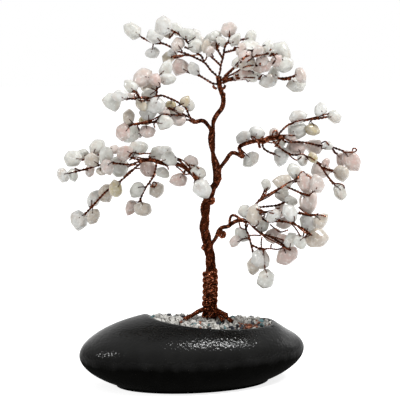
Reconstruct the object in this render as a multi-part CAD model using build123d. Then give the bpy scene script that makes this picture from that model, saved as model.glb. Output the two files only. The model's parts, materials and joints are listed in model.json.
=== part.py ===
from build123d import *
import math
import os
import random

import numpy as np

# Gemstone tree ornament: twisted copper wire boughs carry drilled, tumbled chips of quartz,
# and the trunk stands in a black pebble-shaped pot filled with plaster and topped with gravel.
# Millimetres, +Z up, X along the pot, origin at the middle of the pot's flat foot.

# Pot
POT_LENGTH = 138.0
POT_WIDTH = 83.0
PEBBLE_HEIGHT = 51.6
PEBBLE_CENTRE_HEIGHT = 19.8
POT_WALL = 4.0
POT_FLOOR = 5.0
POT_FOOT_LENGTH = 95.6
POT_FOOT_WIDTH = 57.4
MOUTH_LEFT = 29.2
MOUTH_RIGHT = 52.6
MOUTH_RIM = 3.0
MOUTH_NECK = 4.0
FILL_CLEARANCE = 0.2
CUT_OVERRUN = 10.0

# Gravel
GRAVEL_DEPTH = 2.4
GRAVEL_STEP = 5.8
GRAVEL_RADIUS = 2.75
GRAVEL_HEIGHT = 2.8
GRAVEL_SEAT = 0.05
GRAVEL_GAP = 0.15

# Trunk of five wire bundles laid up like a rope
TREE_HEIGHT = 186.0
TRUNK_X = 10.9
STRAND_DIAMETER = 2.0
STRAND_GAP = 0.12
STRAND_STEP = 4.0
LEAVE_RUN = 8.0
STUB_RUN = 2.0
BEND_GAP = 0.45
ROOT_REACH = 11.0
ROOT_LIFT = 0.9
ROOT_BEND_HEIGHT = 3.2

# Ribbon of wire wound round the foot of the trunk
WRAP_START_HEIGHT = 7.2
WRAP_END_HEIGHT = 27.6
WRAP_PITCH = 3.7
WRAP_WIDTH = 3.2
WRAP_THICKNESS = 1.3
WRAP_SEAT = 0.2

# Sprays, stems and drilled chips
TREE_DEPTH = 40.0
SPRAY_DIAMETER = 1.3
STEM_DIAMETER = 0.6
BORE_CLEARANCE = 0.25
HOOK_LIFT = 0.25
HOOK_REACH = 0.45
HOOK_TAIL = 0.5
WIRE_GAP = 0.12
SEAT_GAP = 0.4
CHIP_GAP = 0.3
DEPTH_STEP = 2.0
ATTACH_STEP = 1.2
SPRAY_TAIL = 1.2

# View that the pixel readings were taken in
VIEW_DISTANCE = 1000.0
VIEW_TURN = -14.0
VIEW_TILT = 7.5
PICTURE_CENTRE_PX = (200.0, 200.0)
TRUNK_FOOT_PX = (210.0, 318.0)
TREE_TOP_PY = 18.5

# Angles that chips lean and roll out of the picture's plane, degrees
CHIP_LEAN = 16.0
CHIP_ROLL = 26.0

# Counts and proportions
STRAND_SIDES = 6
SPRAY_SIDES = 5
STRAND_TURNS = 5.24
STEM_SIDES = 3
WRAP_SIDES_PER_TURN = 16
CHIP_LENGTH_SHARE = 1.06
CHIP_WIDTH_SHARE = 0.82
CHIP_THICKNESS_SHARE = 0.52
CHIP_FACE_SHARE = 0.7
CHIP_SPREAD_SHARE = 0.12
BORE_PLACE_SHARE = 0.36
STRAND_SLOPE_SHARE = 1.06
GRAVEL_TOP_SHARE = 0.62
GRAVEL_SPREAD_SHARE = 0.3
GRAVEL_SIDES = 5
RUST_START_SHARE = 0.1
RUST_EDGE_SHARE = 0.35
RUST_SHARE = 0.55
TEAL_SHARE = 0.1
DARK_SHARE = 0.08
CHIP_STANDOFF_SHARE = 0.62

# Trunk's middle line from the gravel to the knot under the crown
TRUNK_PX = [(210, 318), (209.5, 308.8), (210.4, 290.6), (210.3, 272.4), (211, 266.4), (209.8, 254.2),
            (207.3, 242.1), (204.2, 229), (204.9, 210.6), (206.6, 201.5), (211, 192.4), (215.3, 183.3),
            (217.6, 174.2), (217, 168), (214.2, 161), (212.2, 153), (211.3, 140), (213, 127.4),
            (214, 119), (217.3, 114), (221.5, 109.5), (223.4, 102), (223.4, 96.8), (220.8, 90)]

# Each strand: picture row where it leaves the trunk, and the direction it leaves in
STRAND_LEAVES = {
    "crown": (95.0, 288.5),
    "upper_left": (131.0, 210.0),
    "upper_right": (170.5, 45.0),
    "lower_left": (190.0, 125.0),
    "lower_right": (245.0, 0.0),
}
ROOT_SHARES = {"crown": 0.8, "upper_left": 1.0, "upper_right": 0.9, "lower_left": 0.85, "lower_right": 1.0}

# Bough bundles: picture points with depth behind the trunk as a share of TREE_DEPTH
BOUGH_DEPTH_SHARES = {
    "crown": [(220.8, 90, 0), (219.6, 86, 0), (218.9, 80.5, 0), (218.7, 76.5, 0)],
    "upper_left": [(207.6, 125, -0.04), (205.3, 122.2, -0.06), (202, 120.6, -0.08), (198.5, 121.2, -0.1),
                   (195, 122, -0.12), (191.5, 120, -0.14)],
    "lower_left": [(205, 184.6, 0.08), (200, 181, 0.1), (195, 176.5, 0.12), (190, 172, 0.14),
                   (184, 167, 0.17), (176, 164, 0.2), (164, 163.5, 0.26), (152, 160, 0.32), (140, 160, 0.38)],
    "upper_right": [(222.6, 164.6, 0.05), (227, 158.5, 0.07), (231.5, 153.4, 0.09), (236.5, 152.6, 0.1),
                    (240, 150, 0.11), (242, 146.3, 0.12), (246.5, 143.4, 0.14), (254, 141.3, 0.17),
                    (263, 140, 0.2), (273, 138.5, 0.24), (282, 137.5, 0.28)],
    "lower_right": [(215.2, 238.9, -0.04), (218, 235.2, -0.06), (220.4, 230.4, -0.09), (225, 227, -0.12),
                    (231, 223.5, -0.15), (237.5, 220.9, -0.18), (247.5, 221.3, -0.22)],
}

# Sprays: depth share at the tip, band of depth shares for its chips, picture points
BACK_SHARES = (0.05, 1.0)
FRONT_SHARES = (-1.0, -0.05)
MIDDLE_SHARES = (-0.7, 0.7)
SPRAY_SHARES = {
    "crown": [
        (0.35, BACK_SHARES, [(218.5, 84.5), (213, 83.5), (207, 80), (199, 75.5), (188, 72)]),
        (0.75, BACK_SHARES, [(218.7, 77.5), (215, 74), (211, 70.5), (205, 63), (195, 57.5), (187, 54),
                             (178, 51), (170, 46.5), (163, 43.5), (154, 43), (143, 38)]),
        (0.42, BACK_SHARES, [(205, 63), (201, 55.5), (190, 49), (180, 45.3)]),
        (0.3, BACK_SHARES, [(194, 51), (188, 43), (181, 35.5), (171, 30)]),
        (0.6, BACK_SHARES, [(187, 54), (180, 56.5), (174, 58)]),
        (-0.2, MIDDLE_SHARES, [(218.8, 76), (220.3, 70), (220.8, 65), (223, 57), (225, 46.5), (229.5, 39.5),
                               (229.5, 33)]),
        (0.15, MIDDLE_SHARES, [(229.5, 39.5), (240, 40), (249, 38.5)]),
        (-0.5, MIDDLE_SHARES, [(223.8, 53.5), (234, 50), (243, 47)]),
        (0.35, MIDDLE_SHARES, [(220.6, 66), (214.5, 59.5), (209, 54), (207, 47)]),
        (0.08, MIDDLE_SHARES, [(222.5, 58.5), (218.5, 51), (217, 44)]),
        (-0.55, FRONT_SHARES, [(219.2, 82), (224, 77.5), (228.5, 73.5), (234, 68), (238.5, 62.5),
                               (242.5, 57.5), (250, 55.8), (258, 56.5), (267, 55.5), (276, 54.5)]),
        (-0.2, FRONT_SHARES, [(226, 76), (236, 74), (245, 70)]),
        (-0.8, FRONT_SHARES, [(243, 57), (252, 50.5), (261, 48)]),
        (-0.25, FRONT_SHARES, [(234, 68), (246, 64.5), (258, 62.5), (270, 62)]),
        (-0.5, FRONT_SHARES, [(219.8, 84.5), (225, 81), (235, 79.8), (246, 78.8), (260, 79), (276, 78.3),
                              (286, 78), (293.5, 76.5)]),
    ],
    "upper_left": [
        (-0.75, FRONT_SHARES, [(191.5, 120), (188.5, 114.5), (185.5, 108), (178, 102.5), (170, 98.5),
                               (160, 95.5), (150, 98.5), (138, 99), (124, 98.5)]),
        (-0.3, FRONT_SHARES, [(157, 96.4), (157, 88), (155, 79)]),
        (-0.95, FRONT_SHARES, [(141, 99), (136, 93), (131, 90)]),
        (-0.4, FRONT_SHARES, [(190.5, 118.5), (183, 114), (175, 111), (166, 106.8), (158, 104)]),
        (-0.6, FRONT_SHARES, [(192, 121), (185, 119.5), (178, 116.5), (171, 117), (165, 114.8), (160, 117),
                              (155, 121.5), (143, 123.5), (131, 125)]),
        (-0.3, FRONT_SHARES, [(155, 121.5), (152, 128), (149.5, 131)]),
    ],
    "lower_left": [
        (0.85, BACK_SHARES, [(140, 160), (131, 157.5), (120, 153), (108, 153.5), (98, 155), (88, 158),
                             (79, 161)]),
        (0.5, BACK_SHARES, [(141, 161), (130, 164.5), (117, 163.5), (102, 164.5), (88, 168.5), (76, 171.5)]),
        (0.7, BACK_SHARES, [(142, 161), (135, 168), (127.5, 175), (119.5, 181.5), (110, 188), (102, 195.5),
                            (92.5, 206), (85, 214)]),
        (0.6, BACK_SHARES, [(157, 161.5), (155.5, 170), (152, 178.5), (146, 187), (142, 195), (139.5, 201)]),
        (0.3, BACK_SHARES, [(184, 167), (180, 160.5), (174, 157)]),
        (-0.1, MIDDLE_SHARES, [(190, 172), (194, 177.5), (197, 182)]),
        (0.08, MIDDLE_SHARES, [(188, 170), (193, 167), (197, 166.5)]),
        (0.24, BACK_SHARES, [(186, 168.5), (184, 174)]),
    ],
    "upper_right": [
        (0.5, BACK_SHARES, [(277, 138), (281, 131.5), (289, 124.5), (298, 122.5), (308.6, 119.8),
                            (318, 118.8), (327, 117)]),
        (0.75, BACK_SHARES, [(310, 119.6), (316, 114), (321, 111)]),
        (0.75, BACK_SHARES, [(282, 137.5), (287, 135.5), (295, 135)]),
        (0.7, BACK_SHARES, [(280, 138), (286, 142), (296, 142), (306, 142.7), (316, 145), (325, 146.2),
                            (333, 147.5), (343, 151)]),
        (0.95, BACK_SHARES, [(331, 147.2), (335, 153), (340, 154.5)]),
        (0.4, BACK_SHARES, [(272, 139), (278, 146), (285, 151.5), (293, 155), (303, 155), (310, 160),
                            (319, 164.5), (326, 174), (332, 182.5)]),
        (0.6, BACK_SHARES, [(321, 167), (328, 169.5), (333, 170.5)]),
        (0.12, BACK_SHARES, [(262, 140), (263.5, 148), (268, 151.5), (272.5, 153.5)]),
    ],
    "lower_right": [
        (-0.5, FRONT_SHARES, [(247, 221.3), (250.5, 212), (255, 205.5), (261.5, 198), (270, 193.5),
                              (279, 188.5), (288, 184), (297, 181)]),
        (-0.25, FRONT_SHARES, [(261.5, 198), (264.5, 191.5)]),
        (-0.75, FRONT_SHARES, [(283, 186.5), (291, 188.5), (303, 194), (308, 195.5)]),
        (-0.35, FRONT_SHARES, [(295, 181.7), (299, 175.5)]),
        (-0.28, FRONT_SHARES, [(250.5, 212), (259, 207.5), (269, 206.3), (279, 204.8), (286, 201)]),
        (-0.85, FRONT_SHARES, [(247.5, 221.3), (256, 214), (264, 212.5), (276, 212.5), (290, 213),
                               (300, 213.5), (310, 215.5), (320, 214)]),
        (-0.65, FRONT_SHARES, [(247.5, 221.3), (254, 227), (260.5, 233), (270, 236.5), (280, 242.5),
                               (289, 249)]),
        (-0.95, FRONT_SHARES, [(256, 214), (268, 221.5), (280, 221), (291, 223), (302, 228), (310, 234)]),
        (-0.42, FRONT_SHARES, [(245, 221.3), (246, 229), (249, 236), (251, 244), (252.5, 250)]),
        (-0.7, FRONT_SHARES, [(251, 244), (257, 247.5), (263, 249), (271, 248.5), (280, 249)]),
    ],
}

# Chips in each bough: picture place, length in pixels, turn of the long axis in degrees, tint
CHIPS_PX = {
    "crown": [
        (132, 31, 17, -37, "clear"), (163.5, 26, 17, 80, "clear"), (168, 33.5, 11, 0, "honey"),
        (155.5, 36, 16, 20, "clear"), (152, 53, 14, 15, "clear"), (177.5, 45, 14, 60, "rose"),
        (168.5, 58, 12, 40, "honey"), (173, 52.5, 10, 20, "clear"), (176.5, 29.5, 13, -50, "clear"),
        (187, 33.5, 14, -10, "clear"), (196, 36, 12, -60, "clear"), (195.5, 46, 13, 20, "clear"),
        (209, 39, 11, 60, "clear"), (216, 36, 12, 30, "clear"), (221.5, 42, 11, -40, "clear"),
        (215, 45, 10, 30, "rose"), (206.5, 46, 13, 80, "honey"), (210, 51.5, 10, 70, "rose"),
        (228.5, 30, 15, 10, "rose"), (250.5, 37, 13, 60, "clear"), (249.5, 47.5, 18, 10, "clear"),
        (240.5, 49, 11, 60, "rose"), (258, 51.5, 11, 50, "rose"), (267.5, 46, 11, 50, "clear"),
        (265, 52.5, 11, 10, "clear"), (281, 53, 20, -60, "clear"), (284, 64.5, 17, 10, "clear"),
        (276.5, 60.5, 11, 50, "rose"), (262, 66, 17, 22, "rose"), (262, 60.5, 12, 10, "rose"),
        (247, 63.5, 15, -30, "honey"), (246, 73, 13, 30, "rose"), (256, 73.5, 12, -60, "clear"),
        (252, 78, 10, 0, "clear"), (237.5, 62.5, 11, 40, "clear"), (239, 75, 10, 20, "rose"),
        (268, 81, 16, 15, "clear"), (274, 73, 12, 75, "clear"), (300, 75, 14, -70, "rose"),
        (296, 85, 16, 10, "clear"), (181, 67, 16, 10, "rose"), (194, 69.5, 13, -60, "clear"),
        (200, 42, 12, 10, "clear"), (235, 40, 12, 50, "clear"), (245, 56, 12, 20, "rose"),
    ],
    "upper_left": [
        (166, 69, 15, 70, "clear"), (167.5, 79, 14, 10, "clear"), (142, 78, 18, 50, "rose"),
        (130.5, 86.5, 14, -50, "clear"), (155.5, 80.5, 12, -60, "rose"), (149, 87, 14, 20, "honey"),
        (149.5, 95.5, 15, -20, "clear"), (112, 101.5, 17, -62, "clear"), (120, 95.5, 14, 10, "clear"),
        (133.5, 94.5, 10, 0, "rose"), (141.5, 105, 12, -60, "honey"), (155.5, 105.5, 18, 8, "clear"),
        (164, 111, 12, -20, "rose"), (148.5, 113, 15, 10, "clear"), (145, 120, 11, 10, "honey"),
        (128.5, 118.5, 14, 80, "honey"), (123.5, 132.5, 15, 72, "rose"), (132, 134.5, 18, 35, "clear"),
        (147.5, 131.5, 14, 12, "rose"), (185, 101, 10, 60, "honey"), (190, 104.5, 12, -75, "clear"),
        (170.5, 105.5, 10, 10, "honey"), (179.5, 110, 9, -10, "honey"), (172, 114, 10, -30, "clear"),
        (165, 122.5, 15, 60, "clear"), (178.5, 120, 14, 0, "rose"),
    ],
    "lower_left": [
        (73, 158.5, 17, 15, "clear"), (83, 154, 12, 15, "clear"), (97, 147.5, 16, 40, "clear"),
        (63, 175, 15, -65, "clear"), (73, 174.5, 12, -70, "clear"), (92, 160.5, 14, -20, "honey"),
        (105.5, 156, 16, 70, "clear"), (113.5, 149.5, 10, 10, "rose"), (90, 171, 12, 70, "rose"),
        (101, 171, 10, 0, "honey"), (119, 166, 20, -45, "clear"), (107.5, 167, 14, -60, "rose"),
        (125, 153, 16, 40, "rose"), (138, 148.5, 18, 5, "clear"), (157, 154, 15, 60, "clear"),
        (165, 150, 13, 0, "clear"), (169.5, 158.5, 16, -40, "clear"), (148, 168.5, 18, -40, "rose"),
        (163, 173, 13, -20, "clear"), (191.5, 161.5, 13, -25, "rose"), (198.5, 172.5, 15, -25, "clear"),
        (178.5, 180, 16, 0, "rose"), (202, 189, 18, -50, "clear"), (115.5, 189, 16, -70, "honey"),
        (106, 192.5, 17, 68, "honey"), (94, 199, 17, 60, "clear"), (93.5, 216, 15, 55, "honey"),
        (78.7, 220, 19, -50, "clear"), (136.5, 189.5, 16, 62, "clear"), (157, 189.5, 15, 40, "honey"),
        (131, 207.5, 15, 72, "rose"), (142.5, 209, 16, -25, "honey"),
    ],
    "upper_right": [
        (243.5, 137.5, 15, 35, "clear"), (256.3, 133, 15, -20, "clear"), (273.5, 132.5, 9, 30, "rose"),
        (298, 117, 16, 20, "clear"), (320.7, 109.6, 14, 55, "clear"), (334, 117, 14, -50, "clear"),
        (312.5, 129.5, 14, -30, "honey"), (297, 130.5, 18, 10, "clear"), (291, 138, 10, 0, "rose"),
        (280, 143.5, 11, 0, "clear"), (251.2, 159, 17, 45, "clear"), (281, 157, 18, 75, "clear"),
        (296, 148, 18, 0, "rose"), (314.4, 146.6, 17, -20, "rose"), (302.2, 160.5, 11, -45, "clear"),
        (313, 157.5, 11, -60, "honey"), (327.8, 146, 10, 20, "clear"), (341.5, 160, 14, 75, "rose"),
        (351, 160, 20, -62, "rose"), (340.5, 173, 16, -35, "honey"), (321, 170.5, 19, 15, "rose"),
        (326, 162.5, 9, 60, "rose"), (340, 192, 16, -72, "clear"),
    ],
    "lower_right": [
        (295.2, 171.5, 15, -65, "clear"), (305.5, 182, 17, -60, "rose"), (317, 184, 16, -80, "rose"),
        (283, 182, 16, 0, "honey"), (266.3, 185, 11, -70, "clear"), (281.8, 194.4, 13, -20, "clear"),
        (290.8, 200.8, 12, -30, "clear"), (308.3, 201, 20, 85, "rose"), (244.8, 211.5, 13, -70, "clear"),
        (254.2, 215.4, 19, 85, "honey"), (262.5, 225, 13, 80, "clear"), (273, 216, 14, 35, "clear"),
        (290.3, 213, 16, -60, "clear"), (281, 210, 13, 60, "rose"), (284.4, 223, 14, 10, "rose"),
        (309, 221.5, 18, -10, "clear"), (321.5, 220.5, 15, 50, "honey"), (315.6, 238, 22, 12, "honey"),
        (242, 234.5, 15, -50, "clear"), (235, 241, 12, 50, "rose"), (273, 235.5, 15, 15, "rose"),
        (290.5, 240.5, 14, 60, "clear"), (300, 242, 13, -60, "clear"), (282, 238.5, 12, 10, "rose"),
        (287, 255, 20, 30, "rose"), (261, 258.8, 19, -55, "clear"), (253, 267, 15, 82, "honey"),
        (265.5, 279.3, 18, 80, "clear"),
    ],
}

# Outlines of tumbled chips, as shares of half the length and half the width
CHIP_OUTLINE_SHARES = [
    [(1.0, 0.1), (0.5, 0.92), (-0.5, 0.9), (-1.0, -0.05), (-0.45, -0.95), (0.6, -0.8)],
    [(1.0, -0.15), (0.62, 0.8), (-0.3, 1.0), (-1.0, 0.25), (-0.62, -0.85), (0.35, -0.95)],
    [(0.97, 0.3), (0.3, 0.98), (-0.68, 0.78), (-1.0, -0.2), (-0.2, -1.0), (0.72, -0.72)],
]

# Flat ribbon section, as shares of half the thickness and half the width
WRAP_SECTION_SHARES = [(0, 1), (1, 0.55), (1, -0.55), (0, -1), (-1, -0.55), (-1, 0.55)]

# Steps that spread each property of the chips evenly over its range
LEAN_STEP_SHARE = 0.618
ROLL_STEP_SHARE = 0.382
WIDTH_STEP_SHARE = 0.414
THICKNESS_STEP_SHARE = 0.732

# Search for clear places
SHARPEST_STEM_SHARE = -0.2
GAP_ROUNDS = 40
START_STEPS = 12
HOOK_TRIALS = 20
DEPTH_TRIALS = 17


def unit(vector):
    return vector / np.linalg.norm(vector)


def running_length(line):
    """Length along a line of points, at each point."""
    return np.cumsum([0.0] + [math.dist(a, b) for a, b in zip(line, line[1:])])


def turned(vector, axis, degrees):
    """Vector turned about a unit axis."""
    angle = math.radians(degrees)
    across = np.cross(axis, vector)
    return (vector * math.cos(angle) + across * math.sin(angle)
            + axis * (axis @ vector) * (1 - math.cos(angle)))


# Pot and mouth

def pebble_top(x):
    """Height of the pebble's upper surface on its long middle line."""
    return PEBBLE_CENTRE_HEIGHT + PEBBLE_HEIGHT / 2 * math.sqrt(1 - (2 * x / POT_LENGTH) ** 2)


LEFT_TIP = np.array([-MOUTH_LEFT, 0, pebble_top(-MOUTH_LEFT)])
RIGHT_TIP = np.array([MOUTH_RIGHT, 0, pebble_top(MOUTH_RIGHT)])
MOUTH_MIDDLE = (LEFT_TIP + RIGHT_TIP) / 2
MOUTH_ALONG = unit(RIGHT_TIP - LEFT_TIP)
ACROSS = np.array([0.0, 1.0, 0.0])
MOUTH_UP = np.cross(MOUTH_ALONG, ACROSS)
MOUTH_HALF_LENGTH = np.linalg.norm(RIGHT_TIP - LEFT_TIP) / 2
MOUTH_HALF_WIDTH = POT_WIDTH / 2 * math.sqrt(
    1 - (2 * MOUTH_MIDDLE[0] / POT_LENGTH) ** 2
    - (2 * (MOUTH_MIDDLE[2] - PEBBLE_CENTRE_HEIGHT) / PEBBLE_HEIGHT) ** 2)
MOUTH_PLANE = Plane(origin=tuple(MOUTH_MIDDLE), x_dir=tuple(MOUTH_ALONG), z_dir=tuple(MOUTH_UP))
TRUNK_FOOT = MOUTH_MIDDLE + MOUTH_ALONG * (TRUNK_X - MOUTH_MIDDLE[0]) / MOUTH_ALONG[0]


def well(top, inset):
    """Hollow of the pot, or the plaster in it when inset: mouth, neck, belly and floor."""
    floor = POT_FLOOR + inset
    reach = math.sqrt(1 - (2 * (floor - PEBBLE_CENTRE_HEIGHT) / PEBBLE_HEIGHT) ** 2)
    throat = Ellipse(MOUTH_HALF_LENGTH - MOUTH_RIM - inset, MOUTH_HALF_WIDTH - MOUTH_RIM - inset)
    belly = Ellipse(POT_LENGTH / 2 - POT_WALL - inset, POT_WIDTH / 2 - POT_WALL - inset)
    taper = 2 * POT_WALL + inset
    base = Ellipse(POT_LENGTH / 2 * reach - taper, POT_WIDTH / 2 * reach - taper)
    sections = [MOUTH_PLANE.offset(top) * throat, MOUTH_PLANE.offset(-MOUTH_NECK) * throat,
                Plane.XY.offset(PEBBLE_CENTRE_HEIGHT) * belly, Plane.XY.offset(floor) * base]
    return loft(sections, ruled=True)


def pot():
    """Pebble-shaped shell with an oblique oval mouth and a low oval foot."""
    half = (POT_LENGTH / 2, POT_WIDTH / 2, PEBBLE_HEIGHT / 2)
    pebble = Pos(0, 0, PEBBLE_CENTRE_HEIGHT) * scale(Sphere(1), by=half)
    pebble = split(pebble, bisect_by=Plane.XY, keep=Keep.TOP)
    pebble = split(pebble, bisect_by=MOUTH_PLANE, keep=Keep.BOTTOM)
    foot = extrude(Ellipse(POT_FOOT_LENGTH / 2, POT_FOOT_WIDTH / 2), PEBBLE_CENTRE_HEIGHT)
    return pebble + foot - well(CUT_OVERRUN, 0)


# Picture readings placed in space

MM_PER_PIXEL = TREE_HEIGHT / (TRUNK_FOOT_PX[1] - TREE_TOP_PY)
FOCAL_PX = VIEW_DISTANCE / MM_PER_PIXEL
TURN = math.radians(VIEW_TURN)
TILT = math.radians(VIEW_TILT)
UP = np.array([0.0, 0.0, 1.0])
RIGHT = np.array([math.cos(TURN), math.sin(TURN), 0])
BACK = np.array([-math.sin(TURN), math.cos(TURN), 0])
AHEAD = BACK * math.cos(TILT) - UP * math.sin(TILT)
RISE = BACK * math.sin(TILT) + UP * math.cos(TILT)


def sight(px, py):
    """Direction from the eye through a picture point."""
    across, rise = px - PICTURE_CENTRE_PX[0], PICTURE_CENTRE_PX[1] - py
    return AHEAD + (RIGHT * across + RISE * rise) / FOCAL_PX


EYE = TRUNK_FOOT - VIEW_DISTANCE * sight(*TRUNK_FOOT_PX)


def place(px, py, depth):
    """Point seen at a picture point, at a depth behind the trunk's foot."""
    ray = sight(px, py)
    return EYE + ray * ((depth + (TRUNK_FOOT - EYE) @ BACK) / (ray @ BACK))


def depth_of(point):
    return (point - TRUNK_FOOT) @ BACK


# Plane-faced solids

def polygon(points, hole=None):
    outer = Wire.make_polygon([tuple(p) for p in points], close=True)
    if hole is None:
        return Face(outer)
    return Face(outer, [Wire.make_polygon([tuple(p) for p in hole], close=True)])


def bands(rings, triangles=False):
    """Faces between each ring of points and the next."""
    faces = []
    for low, high in zip(rings, rings[1:]):
        for i in range(len(low)):
            j = (i + 1) % len(low)
            if triangles:
                faces.append(polygon([low[i], low[j], high[j]]))
                faces.append(polygon([low[i], high[j], high[i]]))
            else:
                faces.append(polygon([low[i], low[j], high[j], high[i]]))
    return faces


def skin(rings, triangles=False):
    """Closed solid through rings of points."""
    return Solid(Shell(bands(rings, triangles) + [polygon(rings[0][::-1]), polygon(rings[-1])]))


def wire_rings(points, diameter, sides, reference=None):
    """Rings of a bent wire, mitred at each bend so that every face between them is flat."""
    runs = [unit(b - a) for a, b in zip(points, points[1:])]
    if reference is None:
        reference = UP if abs(runs[0] @ UP) < abs(runs[0] @ RIGHT) else RIGHT
    first = unit(reference - runs[0] * (runs[0] @ reference))
    second = np.cross(runs[0], first)
    turns = [2 * math.pi * k / sides for k in range(sides)]
    rings = [[points[0] + diameter / 2 * (first * math.cos(t) + second * math.sin(t)) for t in turns]]
    for i, run in enumerate(runs):
        cut = unit(run + runs[i + 1]) if i + 1 < len(runs) else run
        rings.append([p + run * ((points[i + 1] - p) @ cut) / (run @ cut) for p in rings[-1]])
    return rings


def wire(points, diameter, sides, reference=None):
    return skin(wire_rings(points, diameter, sides, reference))


# Room between pieces

class Crowd:
    """Convex pieces already placed: corner points with a radius round them."""

    def __init__(self):
        self.pieces = []
        self.centres = np.zeros((0, 3))
        self.reaches = np.zeros(0)

    def add(self, points, radius):
        points = np.array(points)
        centre = points.mean(axis=0)
        self.pieces.append((points, radius))
        self.centres = np.vstack([self.centres, centre])
        self.reaches = np.append(self.reaches, np.linalg.norm(points - centre, axis=1).max() + radius)

    def add_wire(self, points, diameter):
        for a, b in zip(points, points[1:]):
            self.add([a, b], diameter / 2)

    def room(self, points, radius, wanted):
        """Least gap to the pieces placed, as soon as it is known to be under what is wanted."""
        points = np.array(points)
        centre = points.mean(axis=0)
        reach = np.linalg.norm(points - centre, axis=1).max() + radius
        apart = np.linalg.norm(self.centres - centre, axis=1) - self.reaches - reach
        least = wanted
        for i in np.nonzero(apart < wanted)[0]:
            other, other_radius = self.pieces[i]
            skin_radius = radius + other_radius
            least = min(least, hull_gap(points, other, skin_radius, skin_radius + wanted) - skin_radius)
            if least < 0:
                break
        return least


def hull_gap(a, b, touching, enough):
    """Distance that surely separates two convex sets of points, up to enough, or zero if they touch."""
    v = a.mean(axis=0) - b.mean(axis=0)
    best = 0.0
    for _ in range(GAP_ROUNDS):
        size = v @ v
        if size <= touching * touching:
            return 0.0
        w = a[np.argmin(a @ v)] - b[np.argmax(b @ v)]
        best = max(best, (v @ w) / math.sqrt(size))
        edge = w - v
        if best >= enough or edge @ edge == 0:
            break
        v = v + edge * min(1.0, max(0.0, -(v @ edge) / (edge @ edge)))
    return best


def start_rim(start, along, diameter):
    """Corners of a wire's flat start."""
    first = unit(np.cross(along, UP if abs(along @ UP) < abs(along @ RIGHT) else RIGHT))
    second = np.cross(along, first)
    turns = [2 * math.pi * k / STRAND_SIDES for k in range(STRAND_SIDES)]
    return [start + diameter / 2 * (first * math.cos(t) + second * math.sin(t)) for t in turns]


def from_clear_start(points, diameter, crowd):
    """Wire's points with its start moved along until it clears what carries it, and the start's corners."""
    start, toward = points[0], points[1]
    length = np.linalg.norm(toward - start)
    along = unit(toward - start)
    travel = 0.0
    rim = start_rim(start, along, diameter)
    while travel < length - diameter and crowd.room(rim, 0, WIRE_GAP) < WIRE_GAP:
        travel += diameter / START_STEPS
        rim = start_rim(start + along * travel, along, diameter)
    return [start + along * travel] + list(points[1:]), rim


# Trunk

TRUNK_POINTS = np.array([place(px, py, 0) for px, py in TRUNK_PX])


def row_height(py):
    """Height above the trunk's foot of a picture row on the trunk."""
    rows = [p[1] for p in TRUNK_PX][::-1]
    return float(np.interp(py, rows, (TRUNK_POINTS[:, 2] - TRUNK_FOOT[2])[::-1]))


def trunk_middle(height):
    level = TRUNK_POINTS[:, 2] - TRUNK_FOOT[2]
    return np.array([np.interp(height, level, TRUNK_POINTS[:, i]) for i in range(3)])


LEAVE_HEIGHT = {name: row_height(row) for name, (row, _) in STRAND_LEAVES.items()}


def strand_turn(name, height):
    """Direction of a strand from the trunk's middle, in degrees from the right towards the back."""
    return STRAND_LEAVES[name][1] + 360 * STRAND_TURNS * (height - LEAVE_HEIGHT[name]) / TREE_HEIGHT


def ring_radius(names):
    """Radius at which the strands still in the trunk lie side by side."""
    if len(names) < 2:
        return 0.0
    turns = sorted(strand_turn(name, 0) % 360 for name in names)
    gaps = [b - a for a, b in zip(turns, turns[1:] + [turns[0] + 360])]
    apart = STRAND_DIAMETER * STRAND_SLOPE_SHARE + STRAND_GAP
    return apart / 2 / math.sin(math.radians(min(gaps)) / 2)


def trunk_radius(height):
    """Radius of the strands' circle, which narrows after each strand leaves."""
    order = sorted(LEAVE_HEIGHT, key=LEAVE_HEIGHT.get)
    radius = ring_radius(order)
    for i, name in enumerate(order[:-1]):
        share = min(1.0, max(0.0, (height - LEAVE_HEIGHT[name]) / LEAVE_RUN))
        share = share * share * (3 - 2 * share)
        radius += share * (ring_radius(order[i + 1:]) - ring_radius(order[i:]))
    return radius


def strand_point(name, height):
    turn = math.radians(strand_turn(name, height))
    outward = RIGHT * math.cos(turn) + BACK * math.sin(turn)
    return trunk_middle(height) + outward * trunk_radius(height)


def soil_point(point, lift):
    """Point moved straight up or down to a height over the mouth's plane."""
    drop = MOUTH_UP @ (point - MOUTH_MIDDLE) / MOUTH_UP[2]
    return point + UP * (lift - drop)


def bend_points(name):
    """Middle of a bough's bend, and the direction of the wire through it."""
    first, second = [place(px, py, share * TREE_DEPTH) for px, py, share in BOUGH_DEPTH_SHARES[name][:2]]
    return first, unit(second - first)


def root_points(name):
    """Foot of a strand, splayed out over the gravel."""
    turn = math.radians(strand_turn(name, ROOT_BEND_HEIGHT))
    outward = RIGHT * math.cos(turn) + BACK * math.sin(turn)
    start = TRUNK_FOOT + outward * (trunk_radius(0) + ROOT_SHARES[name] * ROOT_REACH)
    middle = TRUNK_FOOT + outward * (trunk_radius(0) + STRAND_DIAMETER)
    lift = ROOT_LIFT + STRAND_DIAMETER / 2
    return [soil_point(start, lift), soil_point(middle, lift)]


def strand_points(name):
    """Root, twisted run in the trunk, and stub that ends at the bough's bend."""
    leave = LEAVE_HEIGHT[name]
    steps = max(2, round((leave - ROOT_BEND_HEIGHT) / STRAND_STEP))
    heights = [ROOT_BEND_HEIGHT + (leave - ROOT_BEND_HEIGHT) * k / steps for k in range(steps + 1)]
    bend, along = bend_points(name)
    return (root_points(name) + [strand_point(name, h) for h in heights]
            + [bend - along * STUB_RUN, bend - along * BEND_GAP / 2])


# Ribbon wound round the trunk's foot

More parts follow.
